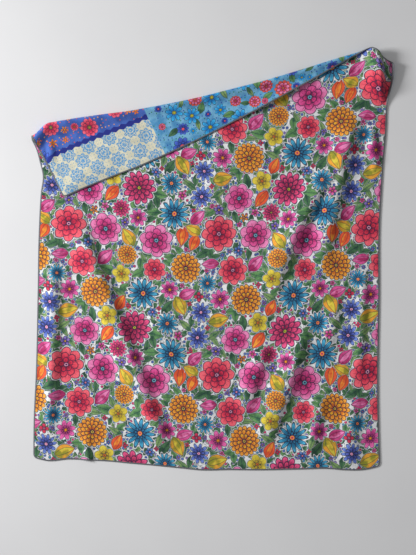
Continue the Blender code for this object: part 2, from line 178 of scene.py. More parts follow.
@dataclass(frozen=True)
class Cloth:
    """The cut cloth and the way it lies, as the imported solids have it.

    A point of the cloth is known by its place (u, v) on the flat cut, from its bottom left corner.
    """

    width: float = 1.270
    length: float = 1.520
    thickness: float = 3.0 * MM
    corner: float = 14.0 * MM
    rim_thickness: float = 1.0 * MM
    rim_taper: float = 10.0 * MM
    rest_point: tuple[float, float] = (0.635, 0.700)
    fold_down_side: float = 0.295
    fold_along_top: float = 1.186
    layer_gap: float = 2.0 * MM
    flap_swing: float = 0.058
    overturn: float = math.radians(25)
    ease_radius: float = 0.040
    flap_folds_start: float = 0.060
    normal_step: float = 0.5 * MM
    roll: Table = (
        (0.00, 0.0125), (0.12, 0.0118), (0.26, 0.0095), (0.42, 0.0082), (0.60, 0.0088),
        (0.78, 0.0080), (0.96, 0.0078), (1.10, 0.0068), (1.22, 0.0066),
    )
    left_side: Table = (
        (0.00, 0.000), (0.15, 0.002), (0.30, 0.009), (0.60, 0.016), (0.82, 0.020), (0.97, 0.028),
        (1.035, 0.035), (1.105, 0.024), (1.17, 0.009), (1.22, -0.012), (1.28, -0.026),
    )
    right_side: Table = (
        (0.00, -0.002), (0.08, -0.005), (0.30, -0.009), (0.60, -0.005), (0.91, -0.002),
        (0.98, 0.002), (1.09, 0.009), (1.22, 0.020), (1.37, 0.027), (1.46, 0.044), (1.52, 0.046),
    )
    bottom_side: Table = (
        (0.00, 0.018), (0.05, 0.007), (0.13, 0.013), (0.21, 0.009), (0.28, 0.005), (0.35, -0.002),
        (0.43, -0.009), (0.54, -0.020), (0.61, -0.027), (0.72, -0.026), (0.83, -0.027),
        (0.98, -0.024), (1.08, -0.022), (1.14, -0.027), (1.21, -0.026), (1.27, -0.013),
    )
    top_side: Table = (
        (0.00, 0.019), (0.09, 0.003), (0.18, -0.007), (0.27, -0.018), (0.36, -0.029),
        (0.45, -0.034), (0.55, -0.037), (0.64, -0.037), (0.72, -0.035), (0.80, -0.033),
        (0.88, -0.028), (0.97, -0.021), (1.06, -0.013), (1.15, -0.007), (1.22, -0.001),
        (1.27, 0.000),
    )

    @property
    def fold_height(self) -> float:
        """Where the fold meets the left side."""
        return self.length - self.fold_down_side

    @property
    def fold_way(self) -> tuple[float, float]:
        """The cosine and sine of the fold's angle to the cloth's width."""
        angle = math.atan2(self.fold_down_side, self.fold_along_top)
        return math.cos(angle), math.sin(angle)

    def roll_section(self, across: np.ndarray, radius: np.ndarray) -> tuple[np.ndarray, np.ndarray]:
        """Follows the section of the soft roll in which the corner turns over.

        Args:
            across: Distances across the fold on the flat cloth, towards the turned corner.
            radius: The roll's radius at each point.

        Returns:
            How far each point reaches across the fold and how high it lies.
        """
        over = self.overturn
        start = -radius * math.pi / 2
        bend = radius * (math.pi + over)
        drop = radius * (1 + math.cos(over)) - self.thickness - self.layer_gap
        slope = (drop - self.ease_radius * (1 - math.cos(over))) / math.sin(over)
        length = across - start
        turn = np.clip(length / radius, 0.0, math.pi + over)
        down = np.clip(length - bend, 0.0, slope)
        level = np.clip((length - bend - slope) / self.ease_radius, 0.0, over)
        flat = np.maximum(length - bend - slope - self.ease_radius * over, 0.0)
        reach = start + np.minimum(length, 0.0) + radius * np.sin(turn) - down * math.cos(over)
        reach = reach - self.ease_radius * (math.sin(over) - np.sin(over - level)) - flat
        height = radius * (1 - np.cos(turn)) - down * math.sin(over)
        height = height - self.ease_radius * (np.cos(over - level) - math.cos(over))
        return reach, height

    def side_shift(self, x: np.ndarray, y: np.ndarray) -> tuple[np.ndarray, np.ndarray]:
        """Works out how far the cloth's own unevenness moves places on the page.

        Args:
            x: Places across the page.
            y: Places up the page.

        Returns:
            The shifts towards +X and towards +Y.
        """
        share = np.clip(x / self.width, 0.0, 1.0)
        shift_x = curve_through(self.left_side, y) * (1.0 - share)
        shift_x = shift_x + curve_through(self.right_side, y) * share
        rise = np.clip(y / self.length, 0.0, 1.0)
        shift_y = curve_through(self.bottom_side, x) * (1.0 - rise)
        shift_y = shift_y + curve_through(self.top_side, x) * rise
        for droop in DROOPS:
            near_side = smooth((x - droop.gathered_x) / (droop.side_x - droop.gathered_x))
            near_top = smooth((y - droop.from_y) / (droop.to_y - droop.from_y))
            shift_y = shift_y - droop.sink * near_side * near_top
        return shift_x, shift_y

    def lie(self, u: np.ndarray, v: np.ndarray) -> np.ndarray:
        """Finds where the middle of the cloth's thickness lies.

        Args:
            u: Places across the flat cloth.
            v: Places up the flat cloth.

        Returns:
            One row of x, y and z for each point.
        """
        cos, sin = self.fold_way
        along = u * cos + (v - self.fold_height) * sin
        across = (v - self.fold_height) * cos - u * sin
        radius = curve_through(self.roll, along)
        reach, height = self.roll_section(across, radius)
        swung = along - self.flap_swing * np.maximum(across, 0.0)
        x = swung * cos - reach * sin
        y = self.fold_height + swung * sin + reach * cos
        on_flap = smooth((across - radius * math.pi) / self.flap_folds_start)
        height = height + np.sqrt(sum(fold.rise(x, y) ** 2 for fold in CLOTH_FOLDS))
        height = height + on_flap * np.sqrt(sum(fold.rise(x, y) ** 2 for fold in FLAP_FOLDS))
        foot = np.minimum(across, -radius * math.pi / 2)
        shift_x, shift_y = self.side_shift(
            along * cos - foot * sin, self.fold_height + along * sin + foot * cos
        )
        place = (
            x + shift_x - self.rest_point[0],
            y + shift_y - self.rest_point[1],
            height + self.thickness / 2,
        )
        return np.stack(place, axis=-1)

    def faces_up(self, u: np.ndarray, v: np.ndarray) -> np.ndarray:
        """Finds the direction out of the cloth's front.

        Args:
            u: Places across the flat cloth.
            v: Places up the flat cloth.

        Returns:
            One unit vector for each point.
        """
        step = self.normal_step
        along_u = self.lie(u + step, v) - self.lie(u - step, v)
        along_v = self.lie(u, v + step) - self.lie(u, v - step)
        out = np.cross(along_u, along_v)
        return out / np.linalg.norm(out, axis=-1, keepdims=True)

    def rim_half(self, inset: np.ndarray) -> np.ndarray:
        """Works out half the cloth's thickness, which the edging presses thin at the rim.

        Args:
            inset: Distances in from the rim.

        Returns:
            Half the thickness at each distance.
        """
        share = np.clip(inset / self.rim_taper, 0.0, 1.0)
        return (self.rim_thickness + (self.thickness - self.rim_thickness) * share) / 2


def linear(colour: str) -> Rgb:
    """Turns an sRGB hex colour to linear.

    Args:
        colour: Six hex digits after a hash mark.

    Returns:
        Its red, green and blue as linear values.
    """
    parts = [int(colour[place : place + 2], 16) / 255 for place in (1, 3, 5)]
    turned = [c / 12.92 if c <= 0.04045 else ((c + 0.055) / 1.055) ** 2.4 for c in parts]
    return turned[0], turned[1], turned[2]


class Value:
    """A value that varies over a surface, worked out by the nodes of a material.

    Arithmetic on it adds the Math nodes that work the result out.
    """

    def __init__(self, tree: bpy.types.NodeTree, socket: bpy.types.NodeSocket) -> None:
        """Wraps the output of a node."""
        self.tree = tree
        self.socket = socket

    def math(self, operation: str, *others: "Number") -> "Value":
        """Adds the Math node of an operation on this value and others."""
        inputs = {number: value for number, value in enumerate((self, *others))}
        return add_node(self.tree, "ShaderNodeMath", inputs, operation=operation)

    def __add__(self, other: "Number") -> "Value":
        """Adds."""
        return self.math("ADD", other)

    __radd__ = __add__

    def __sub__(self, other: "Number") -> "Value":
        """Subtracts."""
        return self.math("SUBTRACT", other)

    def __rsub__(self, other: "Number") -> "Value":
        """Subtracts from a number."""
        return self.math("MULTIPLY_ADD", -1.0, other)

    def __mul__(self, other: "Number") -> "Value":
        """Multiplies."""
        return self.math("MULTIPLY", other)

    __rmul__ = __mul__

    def __truediv__(self, other: "Number") -> "Value":
        """Divides."""
        return self.math("DIVIDE", other)

    def __abs__(self) -> "Value":
        """Drops the sign."""
        return self.math("ABSOLUTE")


Number = Union[Value, float]


def add_node(
    tree: bpy.types.NodeTree,
    kind: str,
    inputs: Optional[dict] = None,
    output: Union[int, str, None] = 0,
    **settings: object,
) -> Value:
    """Adds a node with its settings and links.

    Args:
        tree: The tree that it goes into.
        kind: The node's type.
        inputs: The value of each input that is set, by name or number. A Value is linked.
        output: The output that is wanted, by name or number.
        settings: The node's own properties.

    Returns:
        That output.
    """
    node = tree.nodes.new(kind)
    for name, setting in settings.items():
        setattr(node, name, setting)
    for name, value in (inputs or {}).items():
        if isinstance(value, Value):
            tree.links.new(value.socket, node.inputs[name])
        else:
            node.inputs[name].default_value = value
    return None if output is None else Value(tree, node.outputs[output])


def eased(value: Value, start: float, end: float) -> Value:
    """Eases a value to the range 0 to 1.

    Args:
        value: The value.
        start: Where the result is 0.
        end: Where the result is 1. It may be below start.

    Returns:
        The eased value.
    """
    inputs = {"Value": value, "From Min": start, "From Max": end}
    return add_node(value.tree, "ShaderNodeMapRange", inputs, interpolation_type="SMOOTHSTEP")


def painted(under: Union[Value, Rgb], over: Union[Value, Rgb], cover: Value) -> Value:
    """Paints a colour over another one.

    Args:
        under: The colour underneath.
        over: The colour on top.
        cover: How far the top one covers, from 0 to 1.

    Returns:
        The colour that shows.
    """
    first = under if isinstance(under, Value) else (*under, 1.0)
    second = over if isinstance(over, Value) else (*over, 1.0)
    inputs = {MIX_FACTOR: cover, MIX_FIRST: first, MIX_SECOND: second}
    return add_node(cover.tree, "ShaderNodeMix", inputs, MIX_RESULT, data_type="RGBA")


def by_kind(kind: Value, rows: Sequence[Sequence[float]], output: str = "Color") -> Value:
    """Picks the row of a table that belongs to each motif's kind.

    Args:
        kind: The kind's number, from 0.
        rows: Three or four values for each kind, between 0 and 1.
        output: Color for the first three values, Alpha for the fourth.

    Returns:
        The row's values.
    """
    place = (kind + 0.5) / float(len(rows))
    picked = add_node(kind.tree, "ShaderNodeValToRGB", {"Fac": place}, output)
    ramp = picked.socket.node.color_ramp
    ramp.interpolation = "CONSTANT"
    for number, row in enumerate(rows):
        stop = ramp.elements[0] if number == 0 else ramp.elements.new(number / len(rows))
        stop.position = number / len(rows)
        stop.color = (*row[:3], row[3] if len(row) > 3 else 1.0)
        if number == 0:
            ramp.elements.remove(ramp.elements[1])
    return picked


def split(vector: Value) -> tuple[Value, Value, Value]:
    """Splits a vector or a colour into its three values.

    Args:
        vector: The vector or colour.

    Returns:
        Its first, second and third value.
    """
    parts = add_node(vector.tree, "ShaderNodeSeparateXYZ", {0: vector})
    return tuple(Value(vector.tree, socket) for socket in parts.socket.node.outputs)


@dataclass(frozen=True)
class Ring:
    """One ring of like petals. Sizes are shares of the flower's radius.

    middle is how far out a petal's own middle lies, reach and half_width are its half sizes, and
    base and tip its colours near the flower's middle and at its outer end.
    """

    petals: int
    middle: float
    reach: float
    half_width: float
    base: str
    tip: str


NO_RING = Ring(1, 0.0, 0.004, 0.004, "#000000", "#000000")
MOST_PETALS = 24.0


@dataclass(frozen=True)
class Bloom:
    """A printed flower: up to three rings of petals, the outer one first, and a seeded centre."""

    rings: tuple[Ring, Ring, Ring]
    centre: float
    centre_colour: str
    seed_colour: str


class Flower(Enum):
    """The large and middle-sized flowers of the front print."""

    PINK_ROSETTE = Bloom(
        (
            Ring(7, 0.60, 0.40, 0.36, "#cf3a80", "#f08cc0"),
            Ring(6, 0.42, 0.28, 0.26, "#b8266a", "#e2569a"),
            Ring(5, 0.22, 0.20, 0.17, "#8e1c52", "#d23f80"),
        ),
        0.13, "#27465f", "#7fb4cc",
    )
    CORAL_ROSETTE = Bloom(
        (
            Ring(8, 0.62, 0.38, 0.31, "#d8324e", "#f46a78"),
            Ring(7, 0.42, 0.27, 0.23, "#bf1f46", "#ea4a5e"),
            Ring(5, 0.22, 0.18, 0.17, "#8e1638", "#d8304c"),
        ),
        0.12, "#3d2a4a", "#e59ab8",
    )
    MARIGOLD = Bloom(
        (
            Ring(17, 0.80, 0.20, 0.155, "#e5821e", "#f8b145"),
            Ring(14, 0.56, 0.21, 0.145, "#df781a", "#f5a637"),
            Ring(9, 0.31, 0.19, 0.12, "#d0661a", "#f0b52e"),
        ),
        0.11, "#2b2a44", "#e9c23b",
    )
    ASTER = Bloom(
        (
            Ring(13, 0.60, 0.40, 0.125, "#1d6c96", "#4fb0d6"),
            NO_RING,
            Ring(9, 0.25, 0.15, 0.07, "#1a4f78", "#3c93bd"),
        ),
        0.17, "#c92f63", "#f3a63f",
    )
    DAHLIA = Bloom(
        (
            Ring(12, 0.68, 0.32, 0.185, "#b92e62", "#e8588a"),
            Ring(10, 0.44, 0.27, 0.145, "#a82456", "#e04a78"),
            Ring(7, 0.24, 0.17, 0.11, "#8e1c48", "#d23c68"),
        ),
        0.10, "#5e7a2c", "#d9c23a",
    )
    COSMOS = Bloom(
        (
            Ring(8, 0.58, 0.42, 0.235, "#b02f78", "#ee70b4"),
            NO_RING,
            Ring(8, 0.28, 0.16, 0.09, "#8c2060", "#cf3f8a"),
        ),
        0.18, "#f09a2c", "#8a3a1e",
    )
    BUTTERCUP = Bloom(
        (
            Ring(5, 0.56, 0.44, 0.40, "#b9a52c", "#e2cd4a"),
            NO_RING,
            Ring(5, 0.27, 0.18, 0.16, "#a08a22", "#cfae35"),
        ),
        0.15, "#6a4a22", "#e87a2a",
    )
    CORNFLOWER = Bloom(
        (
            Ring(10, 0.66, 0.34, 0.165, "#4354a6", "#7690dc"),
            Ring(8, 0.38, 0.23, 0.115, "#353f8c", "#5c6cc4"),
            NO_RING,
        ),
        0.15, "#b23a7c", "#f2c0d8",
    )


class SmallFlower(Enum):
    """The small flowers of the front print, which fill the gaps."""

    VIOLET = Bloom((Ring(5, 0.58, 0.42, 0.34, "#6b55a8", "#9a86d0"), NO_RING, NO_RING),
                   0.22, "#e9c23b", "#8a5a1e")
    BLUE = Bloom((Ring(6, 0.60, 0.40, 0.29, "#3f62ae", "#7fa0dc"), NO_RING, NO_RING),
                 0.22, "#c92f63", "#f0b0c8")
    PINK = Bloom((Ring(5, 0.58, 0.42, 0.33, "#c93a84", "#ec84ba"), NO_RING, NO_RING),
                 0.20, "#f0a236", "#7a2a4a")
    RED = Bloom((Ring(4, 0.56, 0.44, 0.38, "#b51f45", "#e2465e"), NO_RING, NO_RING),
                0.22, "#2b2a44", "#e59ab8")
    ORANGE = Bloom((Ring(5, 0.58, 0.42, 0.24, "#e07a22", "#f6a83e"), NO_RING, NO_RING),
                   0.20, "#b3324a", "#f6d06a")


class ReverseFlower(Enum):
    """The flowers of the blue patches on the reverse."""

    SKY_DAISY = Bloom((Ring(8, 0.60, 0.40, 0.21, "#1c7fc8", "#3fb4ec"), NO_RING, NO_RING),
                      0.22, "#c9b83a", "#6f7a2a")
    POPPY_ROUND = Bloom(
        (
            Ring(11, 0.78, 0.22, 0.23, "#c9304a", "#ee6a4a"),
            Ring(8, 0.50, 0.24, 0.19, "#d24c86", "#ef8ab0"),
            Ring(6, 0.26, 0.18, 0.12, "#b02a5c", "#e4583e"),
        ),
        0.12, "#e98a2c", "#7a3a1e",
    )
    ROYAL_ROUND = Bloom(
        (
            Ring(9, 0.68, 0.32, 0.24, "#2a3f9c", "#4a6ad0"),
            Ring(7, 0.36, 0.22, 0.16, "#24327e", "#3c55b4"),
            NO_RING,
        ),
        0.24, "#c92243", "#ec6a7a",
    )
    PINK_ROUND = Bloom(
        (
            Ring(10, 0.76, 0.24, 0.25, "#e03a60", "#fb7088"),
            Ring(8, 0.46, 0.24, 0.19, "#c82a50", "#ee5068"),
            NO_RING,
        ),
        0.20, "#b58a3a", "#5a6a3a",
    )
    ORANGE_STAR = Bloom((Ring(6, 0.56, 0.44, 0.18, "#e2641f", "#f69a34"), NO_RING, NO_RING),
                        0.20, "#f4d24a", "#9a3a1e")


@dataclass(frozen=True)
class Blade:
    """A printed leaf or bud: half its width as a share of half its length, and its colours.

    heart is the colour of the petal in the middle of a bud, and a leaf's second green.
    """

    half_width: float
    is_bud: bool
    base: str
    tip: str
    heart: str


class Leaf(Enum):
    """The leaves and buds of the front print."""

    BROAD = Blade(0.47, False, "#356345", "#70a062", "#588a54")
    DARK = Blade(0.40, False, "#2a5039", "#558257", "#416e4a")
    LONG = Blade(0.33, False, "#44704c", "#8cab6c", "#76995f")
    YELLOW_BUD = Blade(0.60, True, "#8f8f2e", "#f0a63c", "#d9cd45")
    ORANGE_BUD = Blade(0.55, True, "#d4502c", "#f0603c", "#f6a63a")
    PINK_BUD = Blade(0.52, True, "#a82a62", "#e05a9c", "#f08cc0")


class Footprint(Enum):
    """The discs that a motif keeps to itself: how far out each lies and its radius, as shares."""

    ROUND = ((0.0, 1.02),)
    BUD = ((-0.10, 0.54), (0.45, 0.38), (-0.68, 0.24), (0.85, 0.16))
    LEAF = ((-0.05, 0.37), (0.50, 0.28))


@dataclass(frozen=True)
class Motif:
    """A motif's place in its tile, in metres, with its size, turn, kind and own chance number."""

    x: float
    y: float
    radius: float
    angle: float
    kind: int
    chance: float


@dataclass
class Tile:
    """One repeat of a print, filled with motifs that keep clear of each other across its sides."""

    width: float
    height: float
    seed: int
    # How far a motif's turn strays from straight away from its neighbour, in radians in all
    stray: float = 1.4
    # How far out from a motif its faces are looked for, as a share of its radius
    search: float = 1.3
    # A motif's chance number stays clear of the whole numbers, which tell its kind
    least_chance: float = 0.05
    chance_span: float = 0.9

    def __post_init__(self) -> None:
        """Starts the tile's own random numbers, with no place taken yet."""
        self.random = np.random.default_rng(self.seed)
        self.size = np.array([self.width, self.height])
        self.taken = np.empty((0, 3))

    def short_way(self, away: np.ndarray) -> np.ndarray:
        """Takes ways from one place to another across the tile's sides, where that is shorter."""
        return away - self.size * np.round(away / self.size)

    def gaps(self, x: float, y: float) -> tuple[np.ndarray, np.ndarray]:
        """Measures from every disc so far to a place: the ways there, and the clear gaps."""
        away = self.short_way((x, y) - self.taken[:, :2])
        return away, np.hypot(*away.T) - self.taken[:, 2]

    def scatter(
        self,
        kinds: Sequence[int],
        radii: tuple[float, float],
        footprint: Footprint = Footprint.ROUND,
        tries: int = 3000,
        fits: Callable[[float, float, int], bool] = lambda x, y, kind: True,
    ) -> list[Motif]:
        """Scatters one motif of each kind given, each where it has room.

        Args:
            kinds: The kinds, in the order in which they are placed.
            radii: The least and most radius.
            footprint: The discs that each keeps to itself.
            tries: The places tried for all of them together.
            fits: Whether a kind may stand at a place.

        Returns:
            The motifs that found a place, each turned away from its nearest neighbour.
        """
        motifs: list[Motif] = []
        for _ in range(tries):
            if len(motifs) == len(kinds):
                break
            x, y, size, turn, chance = self.random.random(5)
            x, y = x * self.width, y * self.height
            radius = radii[0] + (radii[1] - radii[0]) * size
            kind = kinds[len(motifs)]
            angle = (turn - 0.5) * self.stray
            if len(self.taken):
                away, gaps = self.gaps(x, y)
                near = gaps.argmin()
                angle += math.atan2(away[near, 1], away[near, 0])
            cos, sin = math.cos(angle) * radius, math.sin(angle) * radius
            discs = [(x + cos * out, y + sin * out, radius * r) for out, r in footprint.value]
            clear = all((self.gaps(*disc[:2])[1] >= disc[2]).all() for disc in discs)
            if clear and fits(x, y, kind):
                chance = self.least_chance + self.chance_span * chance
                motifs.append(Motif(x, y, radius, angle, kind, chance))
                self.taken = np.concatenate([self.taken, discs])
        return motifs

    def places_in(
        self, motifs: Sequence[Motif], slim: float, middles: np.ndarray, corners: np.ndarray
    ) -> np.ndarray:
        """Gives each face's corners their places within the motif that is nearest to the face.

        Args:
            motifs: The motifs of one layer.
            slim: The width of the motifs as a share of their length.
            middles: The middle of each face on the flat cloth.
            corners: The corners of each face.

        Returns:
            For each corner, x and y as shares of the motif's radius, and its kind and chance
            added up.
        """
        best = np.full(len(middles), np.inf)
        offset = np.ones((len(middles), 2))
        chosen = np.zeros(len(middles), dtype=int)
        for number, motif in enumerate(motifs):
            away = self.short_way(middles - (motif.x, motif.y))
            near = np.flatnonzero((np.abs(away) < motif.radius * self.search).all(axis=1))
            away = away[near]
            cos, sin = math.cos(motif.angle), math.sin(motif.angle)
            along = away[:, 0] * cos + away[:, 1] * sin
            aside = away[:, 1] * cos - away[:, 0] * sin
            far = np.hypot(along, aside / slim) / motif.radius
            closer = far < best[near]
            best[near[closer]] = far[closer]
            offset[near[closer]] = away[closer]
            chosen[near[closer]] = number
        radius, angle, code = np.array([(m.radius, m.angle, m.kind + m.chance) for m in motifs]).T
        local = corners - middles[:, None, :] + offset[:, None, :]
        cos, sin = np.cos(angle[chosen])[:, None], np.sin(angle[chosen])[:, None]
        x = (local[..., 0] * cos + local[..., 1] * sin) / radius[chosen][:, None]
        y = (local[..., 1] * cos - local[..., 0] * sin) / radius[chosen][:, None]
        return np.stack([x, y, np.broadcast_to(code[chosen][:, None], x.shape)], axis=-1)


@dataclass(frozen=True)
class Layer:
    """The motifs of one layer of a print, and their width as a share of their length."""

    motifs: list[Motif]
    slim: float = 1.0


@dataclass(frozen=True)
class PrintedPlush:
    """Printed polyester plush: a short, soft, upright pile that takes its print at the tips.

    To the eye it is matt with a faint sheen where it bends away, the print is a little soft at
    its edges, and the nap leans lighter or darker from place to place.
    """

    ink_colour: str = "#1b2340"
    ink_cover: float = 0.9
    # Where an inked line starts and is full, as shares of its half thickness
    line_edge: tuple[float, float] = (1.3, 0.5)
    # The strokes within a petal: how many, their edges, where they fade, and how strong they are
    strokes: float = 3.0
    stroke_edge: tuple[float, float] = (0.9, 0.3)
    stroke_fade: tuple[float, float] = (0.75, 0.1)
    stroke_tint: float = 0.85
    pen_strokes: float = 0.40
    petal_soft: float = 0.04
    edge_soft: float = 0.012
    # How far the colours pool in petals and in leaves, and where a petal's tone changes
    petal_pooling: float = 2.2
    leaf_pooling: float = 3.0
    tone_reach: float = 0.9
    # The seeds in a flower's centre: how many, how far out, and their edges
    seeds: float = 9.0
    seeds_out: float = 0.66
    seed_edge: tuple[float, float] = (0.27, 0.17)
    # A leaf's outline narrows from its stalk to its tip, down to the last share
    leaf_taper: tuple[float, float, float] = (1.1, 0.3, 0.5)
    leaf_lines: float = 0.8
    leaf_halo: float = 1.1
    # How much lighter a leaf gets towards its tip
    tip_light: float = 0.7
    rib_edge: tuple[float, float] = (1.1, 0.4)
    veins: float = 3.5
    vein_slant: float = 0.9
    vein_edge: tuple[float, float] = (0.8, 0.3)
    vein_cover: float = 0.55
    # The petal in the middle of a bud, as a share of the bud's width
    heart: float = 0.42
    heart_soft: float = 0.01
    heart_edge: tuple[float, float] = (1.2, 0.4)
    # The width of the bare ground left round each motif, as a share of its size
    halo: float = 0.0
    halo_edge: tuple[float, float] = (1.25, 0.75)
    halo_colour: str = "#e6e8e9"
    # Dots: how far they stray, the bare ground round them, their edges and their outline's strength
    dot_stray: float = 0.8
    dot_halo: tuple[float, float] = (2.4 * MM, 1.6 * MM)
    dot_edge: tuple[float, float] = (1.15, 0.85)
    dot_ink: float = 0.85
    just_under: float = 0.01
    wobble: float = 0.10
    wobble_pitch: float = 24.0 * MM
    noise_detail: float = 2.0
    pool_edge: tuple[float, float] = (0.35, 0.7)
    roughness: tuple[float, float] = (0.80, 0.95)
    sheen: float = 0.15
    sheen_roughness: float = 0.5
    specular: float = 0.25
    # Single fibres are too fine to show, so the nap is drawn in locks this far apart
    nap_pitch: float = 3.4 * MM
    nap_depth: float = 0.8 * MM
    nap_strength: float = 0.6
    nap_shade: float = 0.27
    brush_pitch: float = 60.0 * MM
    brush_shade: float = 0.10

    def cut_place(self, tree: bpy.types.NodeTree) -> Value:
        """Reads the place on the flat cut cloth, in metres."""
        return add_node(tree, "ShaderNodeAttribute", output="Vector", attribute_name="cut_place")

    def noise(self, tree: bpy.types.NodeTree, pitch: float, output: str = "Fac") -> Value:
        """Adds a noise that belongs to the flat cloth.

        Args:
            tree: The tree that it goes into.
            pitch: The size of its lumps.
            output: The output that is wanted, Fac or Color.

        Returns:
            That output.
        """
        lumps = {"Scale": 1.0 / pitch, "Detail": self.noise_detail}
        inputs = {"Vector": self.cut_place(tree), **lumps}
        return add_node(tree, "ShaderNodeTexNoise", inputs, output, noise_dimensions="2D")

    def pooled(self, tree: bpy.types.NodeTree, colours: tuple[str, str], pitch: float) -> Value:
        """Washes a ground in two colours that pool into each other.

        Args:
            tree: The material's tree.
            colours: The two colours.
            pitch: The size of the pools.

        Returns:
            The ground's colour.
        """
        pools = eased(self.noise(tree, pitch), *self.pool_edge)
        return painted(linear(colours[0]), linear(colours[1]), pools)

    def motif_place(self, stray: Value, layer: str) -> tuple[Value, Value, Value]:
        """Reads a layer's own places, with the small wander of a hand-drawn line.

        Args:
            stray: A coloured noise.
            layer: The layer's name on the mesh.

        Returns:
            x and y within the motif, and the kind and chance added up.
        """
        place = add_node(
            stray.tree, "ShaderNodeAttribute", output="Vector", attribute_name=layer
        )
        x, y, code = split(place)
        stray_x, stray_y, _ = split(stray)
        x = x + (stray_x - 0.5) * self.wobble
        y = y + (stray_y - 0.5) * self.wobble
        return x, y, code

    def cleared(self, under: Value, gap: Value, halo: float) -> Value:
        """Leaves the ground bare round a motif.

        Args:
            under: The colour underneath.
            gap: The distance out from the motif's outline.
            halo: The width left bare, or 0 for none.

        Returns:
            The colour with the bare ground.
        """
        if not halo:
            return under
        start, full = self.halo_edge
        return painted(under, linear(self.halo_colour), eased(gap, halo * start, halo * full))

    def line(self, away: Value, half: float) -> Value:
        """Draws a line of some half thickness where a value is near 0."""
        start, full = self.line_edge
        return eased(away, half * start, half * full)

    def inked(self, under: Value, away: Value, half: float) -> Value:
        """Inks a line of some half thickness over a colour, where a value is near 0."""
        return painted(under, linear(self.ink_colour), self.line(away, half) * self.ink_cover)

    def petals(
        self, under: Value, rings: Sequence[Ring], kind: Value, polar: tuple[Value, Value],
        ink: float, wash: Value, shift: float, halo: float,
    ) -> Value:
        """Paints one ring of petals.

        Args:
            under: The colour underneath.
            rings: The ring that each kind of flower has.
            kind: The kind's number.
            polar: The distance from the flower's middle, and the direction as a share of a turn.
            ink: The half thickness of the inked lines, as a share of the radius.
            wash: A noise for the pooling of the colour.
            shift: How far the ring is turned, as a share of a petal.
            halo: The width of the bare ground round the ring, as a share of the radius.

        Returns:
            The colour with the petals.
        """
        far, turn = polar
        shape = by_kind(
            kind, [(r.middle, r.reach, r.half_width, r.petals / MOST_PETALS) for r in rings]
        )
        count = Value(shape.tree, shape.socket.node.outputs["Alpha"]) * MOST_PETALS
        middle, reach, half_width = split(shape)
        part = (turn * count + shift).math("FRACT")
        step = far / count * TURN
        lean = (part - 0.5) / count * TURN
        along = (far * lean.math("COSINE") - middle) / reach
        aside = far * lean.math("SINE") / half_width
        rim = (along * along + aside * aside).math("SQRT")
        inside = eased(rim, 1.0 + self.petal_soft, 1.0 - self.petal_soft)
        seam = (0.5 - abs(part - 0.5)) * step + (1.0 - inside)
        outline = (abs(rim - 1.0) * half_width).math("MINIMUM", seam)
        stroke = abs((part * self.strokes).math("FRACT") - 0.5) * step / self.strokes
        tone = along + (wash - 0.5) * self.petal_pooling
        tone = eased(tone, -self.tone_reach, self.tone_reach)
        start, full = self.stroke_edge
        strokes = eased(stroke, ink * start, ink * full) * eased(along, *self.stroke_fade)
        base = by_kind(kind, [linear(ring.base) for ring in rings])
        tip = by_kind(kind, [linear(ring.tip) for ring in rings])
        colour = painted(painted(base, tip, tone), base, strokes * self.stroke_tint)
        colour = painted(colour, linear(self.ink_colour), strokes * self.pen_strokes)
        shown = painted(self.cleared(under, (rim - 1.0) * half_width, halo), colour, inside)
        return self.inked(shown, outline, ink)

    def flowers(
        self, under: Value, stray: Value, layer: str, kinds: Sequence[Bloom], ink: float,
        rings: int = 3,
    ) -> Value:
        """Paints a layer of flowers.

        Args:
            under: The colour underneath.
            stray: A coloured noise.
            layer: The layer's name on the mesh.
            kinds: The kinds of flower, by number.
            ink: The half thickness of the inked lines, as a share of the radius.
            rings: How many rings of petals are painted.

        Returns:
            The colour with the flowers.
        """
        x, y, code = self.motif_place(stray, layer)
        kind = code.math("FLOOR")
        wash = split(stray)[2]
        far = (x * x + y * y).math("SQRT")
        turn = y.math("ARCTAN2", x) / TURN + 0.5
        shown = under
        for number in range(rings):
            ring = [bloom.rings[number] for bloom in kinds]
            halo = self.halo if number == 0 else 0.0
            shift = 0.5 * (number % 2)
            shown = self.petals(shown, ring, kind, (far, turn), ink, wash, shift, halo)
        size = split(by_kind(kind, [(bloom.centre, 0.0, 0.0) for bloom in kinds]))[0]
        centre = by_kind(kind, [linear(bloom.centre_colour) for bloom in kinds])
        seed = by_kind(kind, [linear(bloom.seed_colour) for bloom in kinds])
        seed_x = ((turn * self.seeds).math("FRACT") - 0.5) * far * (TURN / self.seeds)
        seed_y = far - size * self.seeds_out
        seeds = (seed_x * seed_x + seed_y * seed_y).math("SQRT") / size
        centre = painted(centre, seed, eased(seeds, *self.seed_edge))
        shown = painted(shown, centre, eased(far - size, self.edge_soft, -self.edge_soft))
        return self.inked(shown, abs(far - size), ink)

